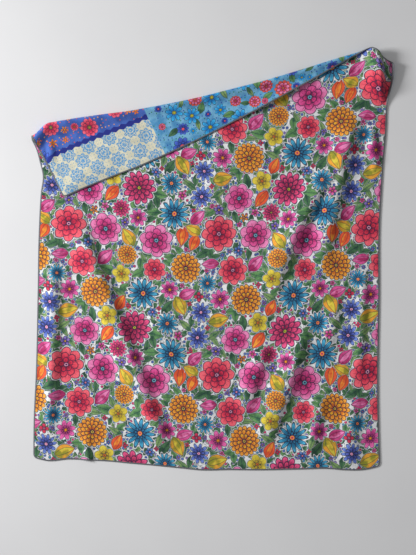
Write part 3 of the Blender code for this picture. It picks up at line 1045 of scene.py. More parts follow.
    def leaves(self, under: Value, stray: Value, layer: str, ink: float) -> Value:
        """Paints a layer of leaves and buds.

        Args:
            under: The colour underneath.
            stray: A coloured noise.
            layer: The layer's name on the mesh.
            ink: The half thickness of the inked lines, as a share of half the leaf's length.

        Returns:
            The colour with the leaves.
        """
        x, y, code = self.motif_place(stray, layer)
        kind = code.math("FLOOR")
        blades = [leaf.value for leaf in Leaf]
        shape = by_kind(kind, [(blade.half_width, float(blade.is_bud), 0.0) for blade in blades])
        half_width, is_bud, _ = split(shape)
        side = abs(y)
        wide, narrowing, least = self.leaf_taper
        half = half_width * (1.0 - x * x) * (wide - x * narrowing).math("MAXIMUM", least)
        inside = eased(side - half, self.edge_soft, -self.edge_soft)
        rib = eased(side, *(ink * edge for edge in self.rib_edge))
        vein = abs(((x - side * self.vein_slant) * self.veins).math("FRACT") - 0.5) / self.veins
        vein = eased(vein, *(ink * edge for edge in self.vein_edge)) * self.vein_cover
        within = side - half * self.heart
        overlap = eased(abs(within), *(ink * edge for edge in self.heart_edge))
        drawn = rib.math("MAXIMUM", vein) * (1.0 - is_bud)
        drawn = drawn.math("MAXIMUM", overlap * is_bud * self.ink_cover)
        pooled = (split(stray)[2] - 0.5) * self.leaf_pooling
        tone = eased(x * self.tip_light + pooled + side, -0.5, self.tone_reach)
        base = by_kind(kind, [linear(blade.base) for blade in blades])
        tip = by_kind(kind, [linear(blade.tip) for blade in blades])
        heart = by_kind(kind, [linear(blade.heart) for blade in blades])
        in_heart = eased(within, self.heart_soft, -self.heart_soft) * tone
        colour = painted(painted(base, tip, tone), heart, in_heart)
        colour = painted(colour, linear(self.ink_colour), drawn * self.leaf_lines)
        shown = self.cleared(under, side - half, self.halo * self.leaf_halo)
        shown = painted(shown, colour, inside)
        return self.inked(shown, abs(side - half), ink)

    def dots(
        self, under: Value, pitch: float, radius: float, colours: Sequence[str], share: float,
        ink: float = 0.0,
    ) -> Value:
        """Paints small scattered dots.

        Args:
            under: The colour underneath.
            pitch: How far apart the dots lie.
            radius: A dot's radius.
            colours: The colours that dots have.
            share: The share of the places that hold a dot.
            ink: The half thickness of each dot's inked outline.

        Returns:
            The colour with the dots.
        """
        tree = under.tree
        cells = {"Vector": self.cut_place(tree), "Scale": 1.0 / pitch, "Randomness": self.dot_stray}
        far = add_node(tree, "ShaderNodeTexVoronoi", cells, "Distance", voronoi_dimensions="2D")
        chance, other, _ = split(Value(tree, far.socket.node.outputs["Color"]))
        held = eased(chance, share, share - self.just_under)
        kind = (other * (len(colours) - self.just_under)).math("FLOOR")
        colour = by_kind(kind, [linear(colour) for colour in colours])
        if self.halo:
            around = eased(far * pitch - radius, *self.dot_halo) * held
            under = painted(under, linear(self.halo_colour), around)
        start, full = self.dot_edge
        shown = painted(under, colour, eased(far * pitch, radius * start, radius * full) * held)
        if not ink:
            return shown
        line = self.line(abs(far * pitch - radius), ink) * held
        return painted(shown, linear(self.ink_colour), line * self.dot_ink)

    def finished(self, material: bpy.types.Material, colour: Value) -> bpy.types.Material:
        """Gives the printed colour the surface of the plush.

        Args:
            material: The material that the colour was made in.
            colour: The printed colour.

        Returns:
            The material.
        """
        tree = material.node_tree
        shader = tree.nodes["Principled BSDF"]
        nap = self.noise(tree, self.nap_pitch)
        brush = self.noise(tree, self.brush_pitch)
        shade = 1.0 + (nap - 0.5) * self.nap_shade * 2.0 + (brush - 0.5) * self.brush_shade * 2.0
        lit = add_node(tree, "ShaderNodeHueSaturation", {"Color": colour, "Value": shade})
        raised = {"Height": nap, "Distance": self.nap_depth, "Strength": self.nap_strength}
        bent = add_node(tree, "ShaderNodeBump", raised)
        low, high = self.roughness
        tree.links.new(lit.socket, shader.inputs["Base Color"])
        tree.links.new(bent.socket, shader.inputs["Normal"])
        tree.links.new((nap * (high - low) + low).socket, shader.inputs["Roughness"])
        shader.inputs["Sheen Weight"].default_value = self.sheen
        shader.inputs["Sheen Roughness"].default_value = self.sheen_roughness
        shader.inputs["Specular IOR Level"].default_value = self.specular
        return material


@dataclass(frozen=True)
class FrontPrint(PrintedPlush):
    """The front of the plush: a dense garden of inked flowers on a pale grey ground."""

    tile_size: tuple[float, float] = (0.560, 0.520)
    seed: int = 21
    halo: float = 0.045
    ground: tuple[str, str] = ("#ecedee", "#d4d7dc")
    berry_colours: tuple[str, ...] = ("#5a74b8", "#c23a6c", "#7f6cb4", "#4660a4", "#4a8cae")
    ground_pitch: float = 33.6 * MM
    stem_colour: str = "#35523f"
    stem_pitch: float = 62.0 * MM
    stem_half: float = 0.9 * MM
    # How far a coloured noise bends the stems, in metres
    stem_bend: tuple[float, float, float] = (0.03, 0.03, 0.0)
    bud_slim: float = 0.6
    leaf_slim: float = 0.5

    def layers(self) -> tuple[Tile, dict[str, Layer]]:
        """Lays out one repeat of the print.

        Returns:
            The tile, and each layer by its name.
        """
        tile = Tile(*self.tile_size, self.seed)
        undergrowth = Tile(*self.tile_size, self.seed + 1)
        disc, bud, leaf = Footprint.ROUND, Footprint.BUD, Footprint.LEAF
        layers = {
            "blooms": Layer([]), "sprigs": Layer([]), "buds": Layer([], self.bud_slim),
            "leaves": Layer([], self.leaf_slim), "foliage": Layer([], self.leaf_slim),
        }
        # Each layer's kinds, least and most radius, footprint and tries, in the order of placing
        for name, kinds, radii, footprint, tries in (
            ("blooms", [0, 2, 1, 3, 0, 2, 4, 0, 3, 1], (54 * MM, 66 * MM), disc, 20000),
            ("blooms", [5, 6, 7, 4, 5, 3, 6, 7, 3, 2, 5, 1], (32 * MM, 43 * MM), disc, 12000),
            ("buds", [3, 4, 5] * 5, (33 * MM, 42 * MM), bud, 6000),
            ("leaves", [0, 1, 2] * 4, (30 * MM, 38 * MM), leaf, 4000),
            ("sprigs", [0, 2, 1, 4, 2, 1, 0, 3] * 4, (15 * MM, 20 * MM), disc, 3000),
            ("leaves", [0, 1, 2] * 10, (24 * MM, 32 * MM), leaf, 4000),
            ("sprigs", [1, 0, 3, 2, 0, 1, 3, 2] * 10, (9 * MM, 13 * MM), disc, 6000),
            ("leaves", [1, 2, 0] * 20, (16 * MM, 24 * MM), leaf, 5000),
            ("foliage", [0, 1, 2] * 80, (22 * MM, 32 * MM), leaf, 9000),
        ):
            place = undergrowth if name == "foliage" else tile
            layers[name].motifs.extend(place.scatter(kinds, radii, footprint, tries))
        for name, layer in layers.items():
            log.info("front print: %d %s", len(layer.motifs), name)
        return tile, layers

    def material(self) -> bpy.types.Material:
        """Builds the front's material.

        Returns:
            The material.
        """
        material = bpy.data.materials.new("polyester_plush_front")
        material.use_nodes = True
        tree = material.node_tree
        stray = self.noise(tree, self.wobble_pitch, "Color")
        shown = self.pooled(tree, self.ground, self.ground_pitch)
        shown = self.stems(shown, stray)
        shown = self.leaves(shown, stray, "foliage", ink=0.040)
        shown = self.dots(
            shown, pitch=17 * MM, radius=4.8 * MM, colours=self.berry_colours, share=0.75,
            ink=0.9 * MM,
        )
        shown = self.leaves(shown, stray, "leaves", ink=0.034)
        small = [flower.value for flower in SmallFlower]
        shown = self.flowers(shown, stray, "sprigs", small, ink=0.070, rings=1)
        shown = self.leaves(shown, stray, "buds", ink=0.034)
        large = [flower.value for flower in Flower]
        shown = self.flowers(shown, stray, "blooms", large, ink=0.024)
        return self.finished(material, shown)

    def stems(self, under: Value, stray: Value) -> Value:
        """Paints thin winding stems.

        Args:
            under: The colour underneath.
            stray: A coloured noise.

        Returns:
            The colour with the stems.
        """
        tree = under.tree
        bent = add_node(
            tree, "ShaderNodeVectorMath", {0: stray, 1: self.stem_bend, 2: self.cut_place(tree)},
            operation="MULTIPLY_ADD",
        )
        inputs = {"Vector": bent, "Scale": 1.0 / self.stem_pitch}
        far = add_node(
            tree, "ShaderNodeTexVoronoi", inputs, voronoi_dimensions="2D",
            feature="DISTANCE_TO_EDGE",
        )
        line = self.line(far * self.stem_pitch, self.stem_half)
        return painted(under, linear(self.stem_colour), line)


@dataclass(frozen=True)
class ReversePrint(PrintedPlush):
    """The reverse of the plush: patches of three prints, two of them blue and one cream."""

    width: float = 1.270
    column: float = 0.412
    row_period: float = 0.610
    row_start: float = 0.520
    row_deep: float = 0.235
    # How far from a patch's side a flower stands, and how soft the sides are
    patch_inset: float = 0.03
    side_soft: float = 0.5 * MM
    tile_size: tuple[float, float] = (1.360, 1.610)
    ground_pitch: float = 38.4 * MM
    seed: int = 8
    cream: tuple[str, str] = ("#dedac2", "#cccab4")
    lattice_colour: str = "#5796c8"
    lattice_pitch: float = 84.0 * MM
    diagonal: float = 0.7071
    # The lattice's rosettes, as shares of its pitch: petals, the gaps between them, rings, middle
    rosette_petals: float = 8.0
    rosette_reach: float = 0.37
    rosette_notch: float = 0.22
    rosette_soft: float = 0.008
    gap_edge: tuple[float, float] = (0.004, 0.012)
    inner_ring: float = 0.12
    inner_edge: tuple[float, float] = (0.016, 0.008)
    outer_ring: float = 0.23
    outer_edge: tuple[float, float] = (0.012, 0.005)
    middle_edge: tuple[float, float] = (0.07, 0.055)
    # The rows of dots between the rosettes
    trellis_dots: float = 6.0
    trellis_dot: tuple[float, float] = (0.26, 0.18)
    trellis_edge: tuple[float, float] = (0.41, 0.43)
    trellis_cover: float = 0.9
    grain_pitch: float = 5.0 * MM
    grain_edge: tuple[float, float] = (0.30, 0.45)
    sky: tuple[str, str] = ("#76b2d4", "#4a8cbc")
    band: tuple[str, str] = ("#4a6cc0", "#3a57a4")
    sky_dots: tuple[str, ...] = ("#2f7a4c", "#2a3f9c")
    band_dots: tuple[str, ...] = ("#d8553a", "#e8a03c")
    border_colour: str = "#232f86"
    border_half: float = 11.5 * MM
    border_edge: tuple[float, float] = (1.08, 0.92)
    wave_pitch: float = 30.0 * MM
    wave_height: float = 14.0 * MM
    halfway: tuple[float, float] = (0.4999, 0.5001)
    leaf_slim: float = 0.5

    def patch(self, x: float, y: float) -> int:
        """Names the patch at a place.

        Args:
            x: The place across the cloth.
            y: The place up the cloth.

        Returns:
            0 for cream, 1 for the blue band or 2 for sky-blue.
        """
        row, deep = divmod(y - self.row_start, self.row_period)
        if (x if row % 2 else self.width - x) > self.column:
            return 2
        return int(deep < self.row_deep)

    def fits(self, x: float, y: float, kind: int) -> bool:
        """Tells whether a kind of flower belongs to the patch at a place.

        Args:
            x: The place across the cloth.
            y: The place up the cloth.
            kind: The kind's number.

        Returns:
            Whether that patch is all round the place.
        """
        wanted = {0: 2, 1: 2, 2: 2, 3: 1, 4: 1}[kind]
        away = (-self.patch_inset, self.patch_inset)
        around = [(x + dx, y + dy) for dx in away for dy in away]
        return all(self.patch(*place) == wanted for place in around)

    def layers(self) -> tuple[Tile, dict[str, Layer]]:
        """Lays out the whole reverse.

        Returns:
            The tile, which is a little larger than the cloth, and each layer by its name.
        """
        tile = Tile(*self.tile_size, self.seed)
        flowers: list[Motif] = []
        # The kinds of flower, their least and most radius, and the tries
        for kinds, radii, tries in (
            ([0, 2, 1, 0] * 35, (28 * MM, 35 * MM), 4000),
            ([3] * 60, (30 * MM, 36 * MM), 1200),
            ([1, 0, 2] * 30, (19 * MM, 25 * MM), 2500),
            ([4, 4, 3] * 100, (12 * MM, 17 * MM), 3500),
            ([0, 2, 1] * 70, (11 * MM, 16 * MM), 3500),
        ):
            flowers += tile.scatter(kinds, radii, tries=tries, fits=self.fits)
        leaves = tile.scatter(
            [0, 1, 2] * 90, (18 * MM, 27 * MM), Footprint.LEAF, 9000, self.fits
        )
        log.info("reverse print: %d flowers, %d leaves", len(flowers), len(leaves))
        return tile, {"blooms": Layer(flowers), "leaves": Layer(leaves, self.leaf_slim)}

    def material(self) -> bpy.types.Material:
        """Builds the reverse's material.

        Returns:
            The material.
        """
        material = bpy.data.materials.new("polyester_plush_reverse")
        material.use_nodes = True
        tree = material.node_tree
        stray = self.noise(tree, self.wobble_pitch, "Color")
        x, y, _ = split(self.cut_place(tree))
        row = ((y - self.row_start) / self.row_period).math("FRACT") * self.row_period
        odd = ((y - self.row_start) / (2 * self.row_period)).math("FRACT")
        odd = eased(odd, *self.halfway)
        in_sky = x * odd + (self.width - x) * (1.0 - odd)
        in_sky = eased(in_sky, self.column - self.side_soft, self.column + self.side_soft)
        in_band = eased(row, self.row_deep + self.side_soft, self.row_deep - self.side_soft)
        cream = self.lattice(self.pooled(tree, self.cream, self.ground_pitch), x, y)
        band = self.pooled(tree, self.band, self.ground_pitch)
        band = self.dots(
            band, pitch=15 * MM, radius=2.2 * MM, colours=self.band_dots, share=0.6
        )
        sky = self.pooled(tree, self.sky, self.ground_pitch)
        sky = self.dots(sky, pitch=13 * MM, radius=2.2 * MM, colours=self.sky_dots, share=0.7)
        shown = painted(painted(cream, band, in_band), sky, in_sky)
        shown = self.leaves(shown, stray, "leaves", ink=0.034)
        kinds = [flower.value for flower in ReverseFlower]
        shown = self.flowers(shown, stray, "blooms", kinds, ink=0.022)
        row_edge = row.math("MINIMUM", self.row_period - row)
        row_edge = abs(row - self.row_deep).math("MINIMUM", row_edge) + in_sky
        wave = abs((x / self.wave_pitch).math("FRACT") - 0.5) * self.wave_height
        start, full = (self.border_half * edge for edge in self.border_edge)
        border = eased(row_edge + wave, start, full)
        shown = painted(shown, linear(self.border_colour), border)
        return self.finished(material, shown)

    def lattice(self, under: Value, x: Value, y: Value) -> Value:
        """Paints rosettes in staggered rows with rows of dots between them.

        Args:
            under: The colour underneath.
            x: The place across the cloth.
            y: The place up the cloth.

        Returns:
            The colour with the rosettes.
        """
        across = x / self.lattice_pitch
        up = y / self.lattice_pitch
        first = ((across + up).math("FRACT") - 0.5) * self.diagonal
        second = ((across - up).math("FRACT") - 0.5) * self.diagonal
        far = (first * first + second * second).math("SQRT")
        turn = second.math("ARCTAN2", first) / TURN + 0.5
        part = (turn * self.rosette_petals).math("FRACT") - 0.5
        petal = self.rosette_reach - abs(part) * self.rosette_notch
        rosette = eased(far - petal, self.rosette_soft, -self.rosette_soft)
        gaps = eased(abs(part) * far, *self.gap_edge)
        ring = eased(abs(far - self.inner_ring), *self.inner_edge)
        ring = ring.math("MAXIMUM", eased(abs(far - self.outer_ring), *self.outer_edge))
        middle = eased(far, *self.middle_edge)
        rosette = rosette * gaps * (1.0 - ring)
        dot_x = (across * self.trellis_dots).math("FRACT") - 0.5
        dot_y = (up * self.trellis_dots).math("FRACT") - 0.5
        dot = eased((dot_x * dot_x + dot_y * dot_y).math("SQRT"), *self.trellis_dot)
        trellis = eased(far, *self.trellis_edge) * dot
        drawn = rosette.math("MAXIMUM", trellis * self.trellis_cover).math("MAXIMUM", middle)
        grain = eased(self.noise(under.tree, self.grain_pitch), *self.grain_edge)
        return painted(under, linear(self.lattice_colour), drawn * grain)


@dataclass(frozen=True)
class SpunThread:
    """Spun polyester sewing thread, dyed charcoal: two dull plies with a soft fuzz.

    To the eye it is matt and almost black, with a little light caught on top of each turn.
    """

    colours: tuple[str, str] = ("#74767c", "#515359")
    ply_pitch: float = 1.2 * MM
    ply_depth: float = 0.3 * MM
    fuzz_detail: float = 2.0
    fuzz_edge: tuple[float, float] = (0.3, 0.7)
    bump_strength: float = 0.5
    roughness: tuple[float, float] = (0.62, 0.82)
    sheen: float = 0.2

    def material(self) -> bpy.types.Material:
        """Builds the thread's material.

        Returns:
            The material.
        """
        material = bpy.data.materials.new("spun_polyester_thread")
        material.use_nodes = True
        tree = material.node_tree
        shader = tree.nodes["Principled BSDF"]
        place = add_node(tree, "ShaderNodeTexCoord", output="Object")
        inputs = {"Vector": place, "Scale": 1.0 / self.ply_pitch, "Detail": self.fuzz_detail}
        fuzz = add_node(tree, "ShaderNodeTexNoise", inputs)
        shades = [linear(colour) for colour in self.colours]
        colour = painted(shades[0], shades[1], eased(fuzz, *self.fuzz_edge))
        raised = {"Height": fuzz, "Distance": self.ply_depth, "Strength": self.bump_strength}
        bump = add_node(tree, "ShaderNodeBump", raised)
        low, high = self.roughness
        tree.links.new(colour.socket, shader.inputs["Base Color"])
        tree.links.new(bump.socket, shader.inputs["Normal"])
        tree.links.new((fuzz * (high - low) + low).socket, shader.inputs["Roughness"])
        shader.inputs["Sheen Weight"].default_value = self.sheen
        return material


@dataclass(frozen=True)
class PaintedFloor:
    """Matt white floor paint.

    To the eye it is even and pale, with faint roller marks and no gloss.
    """

    colours: tuple[str, str] = ("#e4e4e5", "#dcdcde")
    marks_to_a_metre: float = 3.0
    marks_detail: float = 3.0
    roughness: float = 0.7

    def material(self) -> bpy.types.Material:
        """Builds the floor's material.

        Returns:
            The material.
        """
        material = bpy.data.materials.new("matt_painted_floor")
        material.use_nodes = True
        tree = material.node_tree
        shader = tree.nodes["Principled BSDF"]
        place = add_node(tree, "ShaderNodeTexCoord", output="Object")
        inputs = {"Vector": place, "Scale": self.marks_to_a_metre, "Detail": self.marks_detail}
        marks = add_node(tree, "ShaderNodeTexNoise", inputs)
        colour = painted(linear(self.colours[0]), linear(self.colours[1]), marks)
        tree.links.new(colour.socket, shader.inputs["Base Color"])
        shader.inputs["Roughness"].default_value = self.roughness
        return material


def new_object(name: str, mesh: bpy.types.Mesh) -> bpy.types.Object:
    """Puts a mesh into the scene as an object at the origin.

    Args:
        name: The object's name.
        mesh: The mesh.

    Returns:
        The object.
    """
    thing = bpy.data.objects.new(name, mesh)
    bpy.context.scene.collection.objects.link(thing)
    return thing


def set_attribute(
    mesh: bpy.types.Mesh, name: str, values: np.ndarray, domain: str = "POINT"
) -> None:
    """Stores vectors on a mesh.

    Args:
        mesh: The mesh.
        name: The attribute's name.
        values: Three numbers for each point or corner.
        domain: POINT or CORNER.
    """
    attribute = mesh.attributes.new(name, "FLOAT_VECTOR", domain)
    attribute.data.foreach_set("vector", np.ascontiguousarray(values, dtype=np.float32).ravel())


class Side(Enum):
    """The two faces of the cloth, and how each is turned to the way out of the front."""

    FRONT = 1.0
    REVERSE = -1.0


@dataclass
class ThrowCloth:
    """The plush, as one fine sheet for its front and one for its reverse."""

    cloth: Cloth
    rim_steps: int = 3
    step: float = 5.0 * MM

    def marks(self, length: float) -> np.ndarray:
        """Divides a side of the cloth, more finely where its corners are rounded.

        Args:
            length: The side's length.

        Returns:
            The places of the marks along it.
        """
        corner = self.cloth.corner
        inner = round((length - 2 * corner) / self.step)
        start = np.linspace(0.0, corner, self.rim_steps + 1)
        middle = np.linspace(corner, length - corner, inner + 1)[1:-1]
        return np.concatenate([start, middle, length - start[::-1]])

    def grid(self) -> tuple[np.ndarray, np.ndarray, np.ndarray]:
        """Lays a grid over the flat cloth, with its corners rounded.

        Returns:
            The places across and up the cloth, and how far each lies in from the rim.
        """
        cloth = self.cloth
        u, v = np.meshgrid(self.marks(cloth.width), self.marks(cloth.length))
        beyond_u = np.maximum(np.abs(u - cloth.width / 2) - cloth.width / 2 + cloth.corner, 0.0)
        beyond_v = np.maximum(np.abs(v - cloth.length / 2) - cloth.length / 2 + cloth.corner, 0.0)
        most = np.maximum(beyond_u, beyond_v)
        far = np.maximum(np.hypot(beyond_u, beyond_v), TINY)
        squeeze = np.where((beyond_u > 0) & (beyond_v > 0), most / far, 1.0)
        side_u, side_v = np.sign(u - cloth.width / 2), np.sign(v - cloth.length / 2)
        u = u - side_u * beyond_u * (1.0 - squeeze)
        v = v - side_v * beyond_v * (1.0 - squeeze)
        return u, v, cloth.corner - most

    def face(self, side: Side, name: str, print_: PrintedPlush) -> bpy.types.Object:
        """Builds one face of the cloth.

        Args:
            side: Which face.
            name: The piece's name.
            print_: The print that it carries.

        Returns:
            The face.
        """
        u, v, inset = self.grid()
        half = self.cloth.rim_half(inset) * side.value
        places = self.cloth.lie(u, v) + self.cloth.faces_up(u, v) * half[..., None]
        rows, columns = u.shape
        number = np.arange(rows * columns).reshape(rows, columns)
        ring = [number[:-1, :-1], number[:-1, 1:], number[1:, 1:], number[1:, :-1]]
        faces = np.stack([corner.ravel() for corner in ring], axis=-1)
        if side is Side.REVERSE:
            faces = faces[:, ::-1]
        mesh = bpy.data.meshes.new(name)
        mesh.from_pydata(places.reshape(-1, 3), [], faces)
        flat = np.stack([u.ravel(), v.ravel()], axis=-1)
        set_attribute(mesh, "cut_place", np.column_stack([flat, np.zeros(len(flat))]))
        layout = mesh.uv_layers.new(name="OFBake")
        share = flat[faces.ravel()] / (self.cloth.width, self.cloth.length)
        layout.data.foreach_set("uv", share.astype(np.float32).ravel())
        tile, layers = print_.layers()
        corners = flat[faces]
        for layer_name, layer in layers.items():
            placed = tile.places_in(layer.motifs, layer.slim, corners.mean(axis=1), corners)
            set_attribute(mesh, layer_name, placed.reshape(-1, 3), "CORNER")
        mesh.shade_smooth()
        mesh.materials.append(print_.material())
        return new_object(name, mesh)

    def build(self) -> tuple[bpy.types.Object, bpy.types.Object]:
        """Builds both faces and gives them to the frame.

        Returns:
            The front and the reverse.
        """
        front = self.face(Side.FRONT, "cloth_front", FrontPrint())
        reverse = self.face(Side.REVERSE, "cloth_reverse", ReversePrint())
        for piece in (front, reverse):
            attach(piece, "root")
            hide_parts("throw_cloth")
        return front, reverse


@dataclass
class OverlockedEdge:
    """The overlocking round the rim: a band of laid thread and the stitches that wrap it."""

    cloth: Cloth
    reach: float = 4.0 * MM
    proud: float = 0.8 * MM
    half: float = 1.25 * MM
    nose_half: float = 0.7 * MM
    # How far the band stands off the cloth's faces and reaches in past its rim
    fit: float = 0.05 * MM
    throat: float = 0.1 * MM
    crease: float = math.radians(50)
    band_step: float = 5.0 * MM
    least_corner_steps: int = 4
    stitch_pitch: float = 2.5 * MM
    stitch_middle: float = 1.7 * MM
    loop_reach: float = 2.6 * MM
    loop_height: float = 1.2 * MM
    # Half the angle that a loop goes round, which leaves it open towards the cloth's middle
    loop_half_angle: float = 2.25
    loop_steps: int = 8
    loop_sizes: tuple[float, float] = (0.92, 1.08)
    thread_radius: float = 0.42 * MM
    thread_sides: int = 3
    slant: float = 0.35
    seed: int = 5

    def stations(self, step: float) -> tuple[np.ndarray, np.ndarray]:
        """Walks round the rim of the flat cloth.

        Args:
            step: The distance from one station to the next.

        Returns:
            The places and their directions outwards.
        """
        cloth = self.cloth
        corner = cloth.corner
        low = np.array([corner, corner])
        high = np.array([cloth.width - corner, cloth.length - corner])
        centres = [(high[0], low[1]), (high[0], high[1]), (low[0], high[1]), (low[0], low[1])]
        places, outward = [], []
        for number, centre in enumerate(centres):
            before = np.array(centres[number - 1])
            angle = math.radians(90 * (number - 1))
            way = np.array([math.cos(angle), math.sin(angle)])
            run = np.array(centre) - before
            count = round(np.hypot(*run) / step)
            for share in np.arange(count) / count:
                places.append(before + run * share + way * corner)
                outward.append(way)
            count = max(self.least_corner_steps, round(corner * math.pi / 2 / step))
            for share in np.arange(count) / count:
                turned = angle + share * math.pi / 2
                way = np.array([math.cos(turned), math.sin(turned)])
                places.append(np.array(centre) + way * corner)
                outward.append(way)
        return np.array(places), np.array(outward)

    def band(self, finish: bpy.types.Material) -> bpy.types.Object:
        """Builds the band of laid thread, a C section round the rim.

        Args:
            finish: The thread's material.

        Returns:
            The band.
        """
        lip = self.cloth.rim_half(np.array(self.reach)) + self.fit
        back = self.cloth.rim_half(np.array(0.0)) + self.fit
        section = [
            (self.reach, self.half), (self.reach, lip), (-self.throat, back), (-self.throat, -back),
            (self.reach, -lip), (self.reach, -self.half), (0.0, -self.half),
            (-self.proud, -self.nose_half), (-self.proud, self.nose_half), (0.0, self.half),
        ]
        places, outward = self.stations(self.band_step)
        count, sides = len(places), len(section)
        rings = []
        for reach, height in section:
            u, v = (places - outward * reach).T
            rings.append(self.cloth.lie(u, v) + self.cloth.faces_up(u, v) * height)
        around = np.arange(count)
        faces = []
        for side in range(sides):
            first, second = side * count, (side + 1) % sides * count
            after = (around + 1) % count
            ring = [first + around, first + after, second + after, second + around]
            faces.append(np.stack(ring, axis=-1))
        mesh = bpy.data.meshes.new("edge_band")
        mesh.from_pydata(np.concatenate(rings), [], np.concatenate(faces))
        mesh.shade_smooth()
        mesh.set_sharp_from_angle(angle=self.crease)
        mesh.materials.append(finish)
        return new_object("edge_band", mesh)

    def stitch_tree(self) -> bpy.types.NodeTree:
        """Builds the Geometry Nodes tree that sews a loop of thread at each point.

        Returns:
            The tree.
        """
        tree = bpy.data.node_groups.new("overlock_stitches", "GeometryNodeTree")
        sockets = (
            ("Rim", "NodeSocketGeometry"), ("Loop size", "NodeSocketVector"),
            ("Thread radius", "NodeSocketFloat"), ("Seed", "NodeSocketInt"),
            ("Thread", "NodeSocketMaterial"),
        )
        for name, kind in sockets:
            tree.interface.new_socket(name, in_out="INPUT", socket_type=kind)
        tree.interface.new_socket("Stitches", in_out="OUTPUT", socket_type="NodeSocketGeometry")
        rim = add_node(tree, "NodeGroupInput", output="Rim")
        given = {name: Value(tree, rim.socket.node.outputs[name]) for name, _ in sockets}
        bend = {"Start Angle": -self.loop_half_angle, "Sweep Angle": 2 * self.loop_half_angle}
        arc = add_node(
            tree, "GeometryNodeCurveArc", {"Resolution": self.loop_steps, "Radius": 1.0, **bend}
        )
        sized = add_node(
            tree, "GeometryNodeTransform", {"Geometry": arc, "Scale": given["Loop size"]}
        )
        circle = add_node(
            tree, "GeometryNodeCurvePrimitiveCircle",
            {"Resolution": self.thread_sides, "Radius": given["Thread radius"]},
        )
        loop = add_node(
            tree, "GeometryNodeCurveToMesh",
            {"Curve": sized, "Profile Curve": circle, "Fill Caps": True},
        )
        directions = {
            name: add_node(
                tree, "GeometryNodeInputNamedAttribute", {"Name": name}, "Attribute",
                data_type="FLOAT_VECTOR",
            )
            for name in ("along", "out")
        }
        turned = add_node(
            tree, "FunctionNodeAlignRotationToVector", {"Vector": directions["along"]}, axis="Z"
        )
        turned = add_node(
            tree, "FunctionNodeAlignRotationToVector",
            {"Rotation": turned, "Vector": directions["out"]}, axis="X", pivot_axis="Z",
        )
        least, most = self.loop_sizes
        size = add_node(
            tree, "FunctionNodeRandomValue", {"Min": least, "Max": most, "Seed": given["Seed"]},
            "Value", data_type="FLOAT",
        )
        sewn = add_node(
            tree, "GeometryNodeInstanceOnPoints",
            {"Points": rim, "Instance": loop, "Rotation": turned, "Scale": size},
        )
        real = add_node(tree, "GeometryNodeRealizeInstances", {"Geometry": sewn})
        dressed = add_node(
            tree, "GeometryNodeSetMaterial", {"Geometry": real, "Material": given["Thread"]}
        )
        add_node(tree, "NodeGroupOutput", {"Stitches": dressed}, output=None)
        return tree

    def stitches(self, finish: bpy.types.Material) -> bpy.types.Object:
        """Sews the stitches round the rim, and turns them into a plain mesh.

        Args:
            finish: The thread's material.

        Returns:
            The stitches.
        """
        places, outward = self.stations(self.stitch_pitch)
        u, v = (places - outward * self.stitch_middle).T
        middle = self.cloth.lie(u, v)
        outer = self.cloth.lie(*places.T)
        out = (outer - middle) / np.linalg.norm(outer - middle, axis=-1, keepdims=True)
        along = np.cross(self.cloth.faces_up(u, v), out) + out * self.slant
        points = bpy.data.meshes.new("stitch_points")
        points.from_pydata(middle, [], [])
        set_attribute(points, "along", along)
        set_attribute(points, "out", out)
        rim = new_object("stitch_points", points)
        tree = self.stitch_tree()
        modifier = rim.modifiers.new("stitches", "NODES")
        modifier.node_group = tree
        inputs = {item.name: item.identifier for item in tree.interface.items_tree}
        modifier[inputs["Loop size"]] = (self.loop_reach, self.loop_height, 1.0)
        modifier[inputs["Thread radius"]] = self.thread_radius
        modifier[inputs["Seed"]] = self.seed
        modifier[inputs["Thread"]] = finish
        evaluated = rim.evaluated_get(bpy.context.evaluated_depsgraph_get())
        mesh = bpy.data.meshes.new_from_object(evaluated)
        rim.modifiers.remove(modifier)
        bpy.data.objects.remove(rim)
        mesh.name = "edge_stitches"
        mesh.shade_smooth()
        return new_object("edge_stitches", mesh)

    def build(self) -> list[bpy.types.Object]:
        """Builds the edge and gives it to the frame.

        Returns:
            The band and the stitches.
        """
        finish = SpunThread().material()
        pieces = [self.band(finish), self.stitches(finish)]
        for piece in pieces:
            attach(piece, "root")
            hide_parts("overlocked_edge")
        return pieces


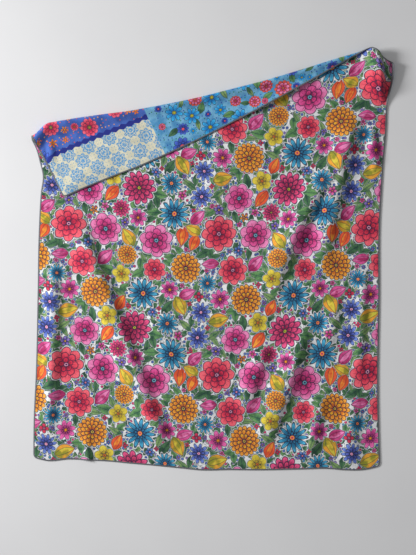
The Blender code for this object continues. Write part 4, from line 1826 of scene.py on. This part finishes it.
@dataclass
class Studio:
    """The pale floor that the throw lies on, the soft lights and the camera above it."""

    floor_half: float = 6.0
    floor_height: float = -0.8 * MM
    camera_place: tuple[float, float, float] = (0.0037, -0.0229, 4.514)
    lens: float = 80.0
    sensor: float = 36.0
    sky_light: float = 0.30
    key_place: tuple[float, float, float] = (-4.5, 0.9, 2.15)
    key_size: float = 1.5
    key_power: float = 112.0
    # A grid on the softbox keeps its light off the floor beneath it
    spread: float = math.radians(105)

    def floor(self) -> bpy.types.Object:
        """Builds the floor.

        Returns:
            The floor.
        """
        half, height = self.floor_half, self.floor_height
        corners = [(x * half, y * half, height) for x, y in ((-1, -1), (1, -1), (1, 1), (-1, 1))]
        mesh = bpy.data.meshes.new("floor")
        mesh.from_pydata(corners, [], [(0, 1, 2, 3)])
        mesh.materials.append(PaintedFloor().material())
        return new_object("floor", mesh)

    def softbox(
        self, name: str, place: tuple[float, float, float], size: float, power: float
    ) -> None:
        """Hangs a square softbox that faces the middle of the throw.

        Args:
            name: Its name.
            place: Where it hangs.
            size: Its width.
            power: Its power in watts.
        """
        light = bpy.data.lights.new(name, "AREA")
        light.shape = "SQUARE"
        light.size = size
        light.energy = power
        light.spread = self.spread
        lamp = bpy.data.objects.new(name, light)
        lamp.location = place
        lamp.rotation_mode = "QUATERNION"
        lamp.rotation_quaternion = lamp.location.to_track_quat("Z", "Y")
        bpy.context.scene.collection.objects.link(lamp)

    def camera(self) -> None:
        """Sets the camera above the throw, looking straight down."""
        lens = bpy.data.cameras.new("camera")
        lens.lens = self.lens
        lens.sensor_width = self.sensor
        camera = bpy.data.objects.new("camera", lens)
        camera.location = self.camera_place
        bpy.context.scene.collection.objects.link(camera)
        bpy.context.scene.camera = camera

    def build(self) -> None:
        """Sets up the floor, the lights and the camera."""
        self.floor()
        self.softbox("key_light", self.key_place, self.key_size, self.key_power)
        world = bpy.data.worlds.new("studio")
        bpy.context.scene.world = world
        world.use_nodes = True
        sky = world.node_tree.nodes["Background"].inputs
        sky["Color"].default_value = (1.0, 1.0, 1.0, 1.0)
        sky["Strength"].default_value = self.sky_light
        bpy.context.scene.view_settings.view_transform = "Standard"
        self.camera()


def main() -> None:
    """Builds the throw piece by piece, and the studio round it."""
    logging.basicConfig(level=logging.INFO, format="%(message)s")
    cloth = Cloth()
    front, reverse = ThrowCloth(cloth).build()
    log.info("cloth: %d faces on each side", len(front.data.polygons))
    band, stitches = OverlockedEdge(cloth).build()
    log.info("edge: %d faces of thread", len(stitches.data.polygons))
    Studio().build()
    log.info("studio ready")


if __name__ == "__main__":
    main()
